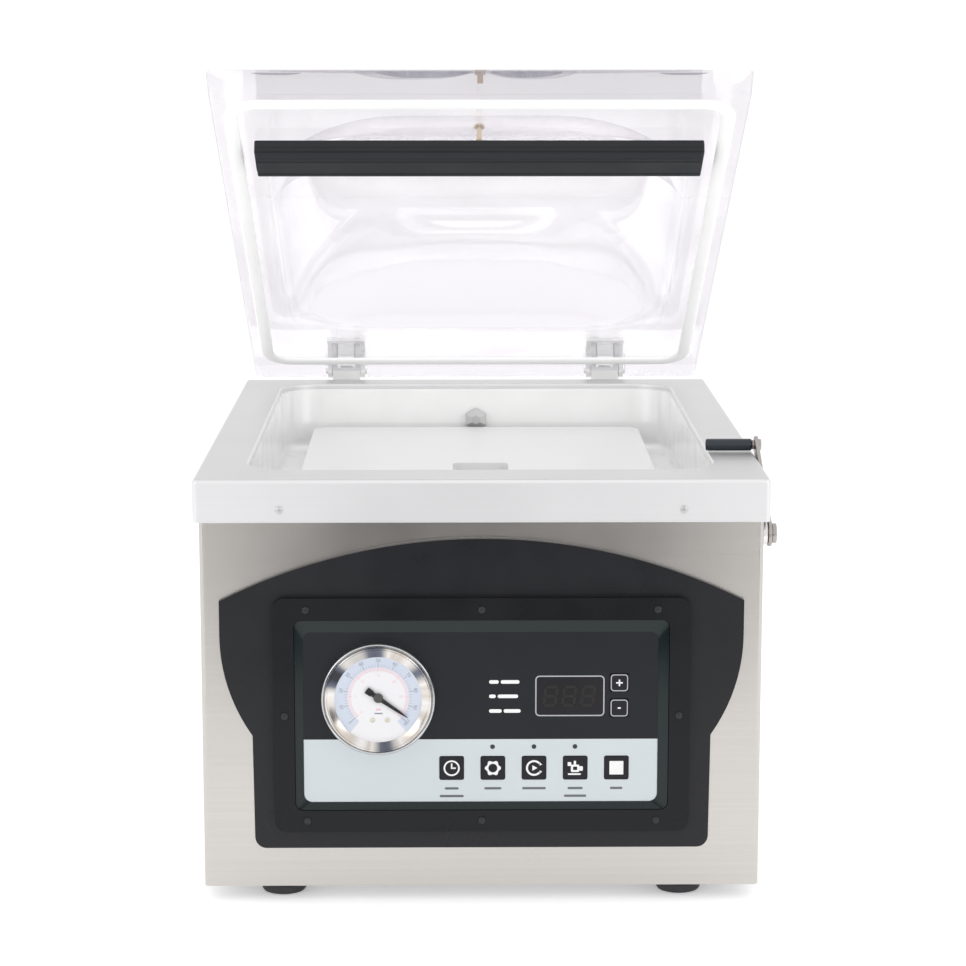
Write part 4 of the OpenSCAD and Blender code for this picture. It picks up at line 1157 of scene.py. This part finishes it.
def scale_numbers(name, material, divisions, r, size, step, lean):
    """A plain number at each of a scale's divisions, upright or leaning with its mark."""
    for i in range(divisions + 1):
        a = radians(90 + SWEEP / 2 - SWEEP * i / divisions)
        curve = bpy.data.curves.new(name + "_number", "FONT")
        curve.body = str(i * step)
        curve.size = size * MM
        curve.align_x = "CENTER"
        curve.align_y = "CENTER"
        curve.extrude = 0.02 * MM
        curve.resolution_u = 2
        text = link(bpy.data.objects.new(name + "_number", curve))
        mesh = evaluated_mesh(text)
        bpy.data.objects.remove(text)
        place = at(r * MM * cos(a), r * MM * sin(a), (DIAL_FACE + 0.03) * MM)
        mesh.transform(ON_GAUGE @ place @ Matrix.Rotation(a - pi / 2 if lean else 0, 4, "Z"))
        mesh.materials.clear()
        mesh.materials.append(M[material])
        put(link(bpy.data.objects.new("%s_number_%d" % (name, i), mesh)), "cabinet", SLOT["gauge_dial"])


def pointer():
    """The needle, a tapered pointer with a broad tail, and its grey hub."""
    blade = [(0, -1.35), (16, -0.75), (21.4, -0.12), (21.4, 0.12), (16, 0.75), (0, 1.35)]
    tail = [(0, 1.3), (-4.3, 1.5), (-4.9, 2.0), (-8.6, 2.0), (-8.6, -2.0), (-4.9, -2.0), (-4.3, -1.5),
            (0, -1.3)]
    reading = -34.7         # degrees from level, below zero is clockwise
    bm = bmesh.new()
    add_prism(bm, in_mm(blade), 2.4 * MM, 3.2 * MM)
    add_prism(bm, in_mm(tail), 2.42 * MM, 3.18 * MM)
    add_prism(bm, circle(1 * MM, 20), -11 * MM, 2.5 * MM)
    needle = finish_mesh(bm, "pointer_blade", "needle")
    needle.data.transform(ON_GAUGE @ Matrix.Rotation(radians(reading), 4, "Z"))
    stand_for(needle, "gauge_needle")
    hub = [(0.01, 2.3), (2.9, 2.3), (2.9, 3.45), (2.6, 3.75), (1.4, 3.95), (0.01, 3.98)]
    put(lathe("pointer_hub", hub, "hub", 40, close=False), "needle", SLOT["gauge_needle"])


# ---------- floor and light ----------

def make_floor():
    """A white floor that glows a little, most of all close to the machine: painted light that lifts the machine's
    shadow on the floor.
    """
    bm = bmesh.new()
    add_block(bm, 6.0, 6.0, -0.01, 0)
    mesh = bpy.data.meshes.new("floor")
    bm.to_mesh(mesh)
    bm.free()
    floor = link(bpy.data.objects.new("floor", mesh))
    mat, tree, shader = new_material("floor_paper")
    place = output_of(tree, "TexCoord", output="Object")
    away = output_of(tree, "VectorMath", {0: place}, "Value", "LENGTH")
    # Painted light: the glow is strongest near the machine, where its shadow falls.
    set_inputs(tree, shader, {
        "Base Color": (0.93, 0.93, 0.935, 1), "Roughness": 0.9, "Emission Color": (1, 1, 1, 1),
        "Emission Strength": spread(tree, away, 0.3, 0.07, 0.4, 1.6)})
    mesh.materials.append(mat)


def make_world():
    world = bpy.data.worlds.new("studio")
    bpy.context.scene.world = world
    world.use_nodes = True
    background = world.node_tree.nodes["Background"]
    background.inputs["Color"].default_value = (1, 1, 1, 1)
    background.inputs["Strength"].default_value = 1.06


def key_light(name, x, watts):
    """A soft box in front and to one side, aimed at the middle of the machine."""
    data = bpy.data.lights.new(name, "AREA")
    data.shape = "RECTANGLE"
    data.size = 0.9
    data.size_y = 1.2
    data.energy = watts
    lamp = link(bpy.data.objects.new(name, data))
    lamp.location = (x, -1.5, 0.9)
    aim = Vector((0, 0, 0.22)) - lamp.location
    lamp.rotation_euler = aim.to_track_quat("-Z", "Y").to_euler()


def reflection_card(name, corners, grey):
    """A dark card that only shows in reflections, to shape the metal's surfaces."""
    mesh = bpy.data.meshes.new(name)
    mesh.from_pydata(corners, [], [(0, 1, 2, 3)])
    card = link(bpy.data.objects.new(name, mesh))
    mat, tree, shader = new_material(name)
    tree.nodes.remove(shader)
    show(tree, output_of(tree, "Emission", {"Color": (grey, grey, grey, 1)}))
    mesh.materials.append(mat)
    hide_from(card, "camera", "diffuse", "transmission", "volume_scatter", "shadow")


def upright(x0, y0, x1, y1, top):
    """Corners of a card that stands on its lower edge just above the floor."""
    return [(x0, y0, 0.01), (x1, y1, 0.01), (x1, y1, top), (x0, y0, top)]


make_floor()
make_world()
key_light("key_left", -1.4, 4.6)
key_light("key_right", 1.4, 5.4)
reflection_card("card_low", level([(-0.33, -2.4), (0.33, -2.4), (0.2, -0.8), (-0.2, -0.8)], 0.004), 0.0)
reflection_card("card_left", upright(-0.62, -0.9, -0.5, -1.02, 0.24), 0.02)
reflection_card("card_right", upright(0.42, -1.0, 0.56, -0.86, 0.22), 0.02)
bpy.context.scene.view_settings.view_transform = "Standard"


# ---------- the machine ----------

deck_shell()
chamber_pan()
lid_acrylic()
painted_edge_refractions()
foam_gasket()
counter_bar_pieces()
fasteners()
hinge_coils()
suction_nut()
foot_pads()
grip_handle()
grey_field()
panel_rim()
display()
label_marks()
keys()
lamps()
bezel()
dial_face()
pointer()

# CAD nodes shown in their own form with rounded edges: the material, and the radius in millimetres.
REFINED = {
    "housing_wrap": ("body", 0.9), "rear_cover": ("body_back", 0.3), "filler_plate": ("board_white", 0.8),
    "lift_cylinders": ("bright", 0.4), "fascia": ("fascia", 0.9), "panel_frame": ("frame", 1.6),
    "overlay_sheet": ("overlay", 0.15), "gauge_case": ("zinc", 0.3), "hinge_brackets": ("hinge", 0.4),
    "hinge_pins": ("bright", 0.3), "lever_bush": ("bright", 0.3), "lever_bolt": ("lever", 0.4),
    "mains_inlet": ("black", 0.3), "switch_frame": ("black", 0.4), "hinge_leaves": ("hinge", 0.4),
    "lever_arm": ("lever", 0.35), "grip_axle": ("lever", 0.3), "seal_bar": ("bright", 0.4),
    "seal_tape": ("tape", 0.1), "switch_rocker": ("red", 0.5),
}
for node, (material, radius) in REFINED.items():
    refine(node, material, radius)

# CAD nodes shown as they are, most of them inside the machine.
PLAIN = {
    "base_plate": "zinc", "display_module": "black", "status_lamps": "lamp", "control_board": "pcb",
    "gauge_glass": "glass", "gauge_movement": "brass", "pump_housing": "pump", "motor_housing": "motor",
    "motor_shields": "motor", "pump_mounts": "rubber", "exhaust_filter": "filter", "transformer": "copper",
    "solenoid_valves": "black", "vacuum_hose": "rubber", "heating_wire": "spring", "drive_shaft": "spring",
}
for node, material in PLAIN.items():
    repaint(node, material)
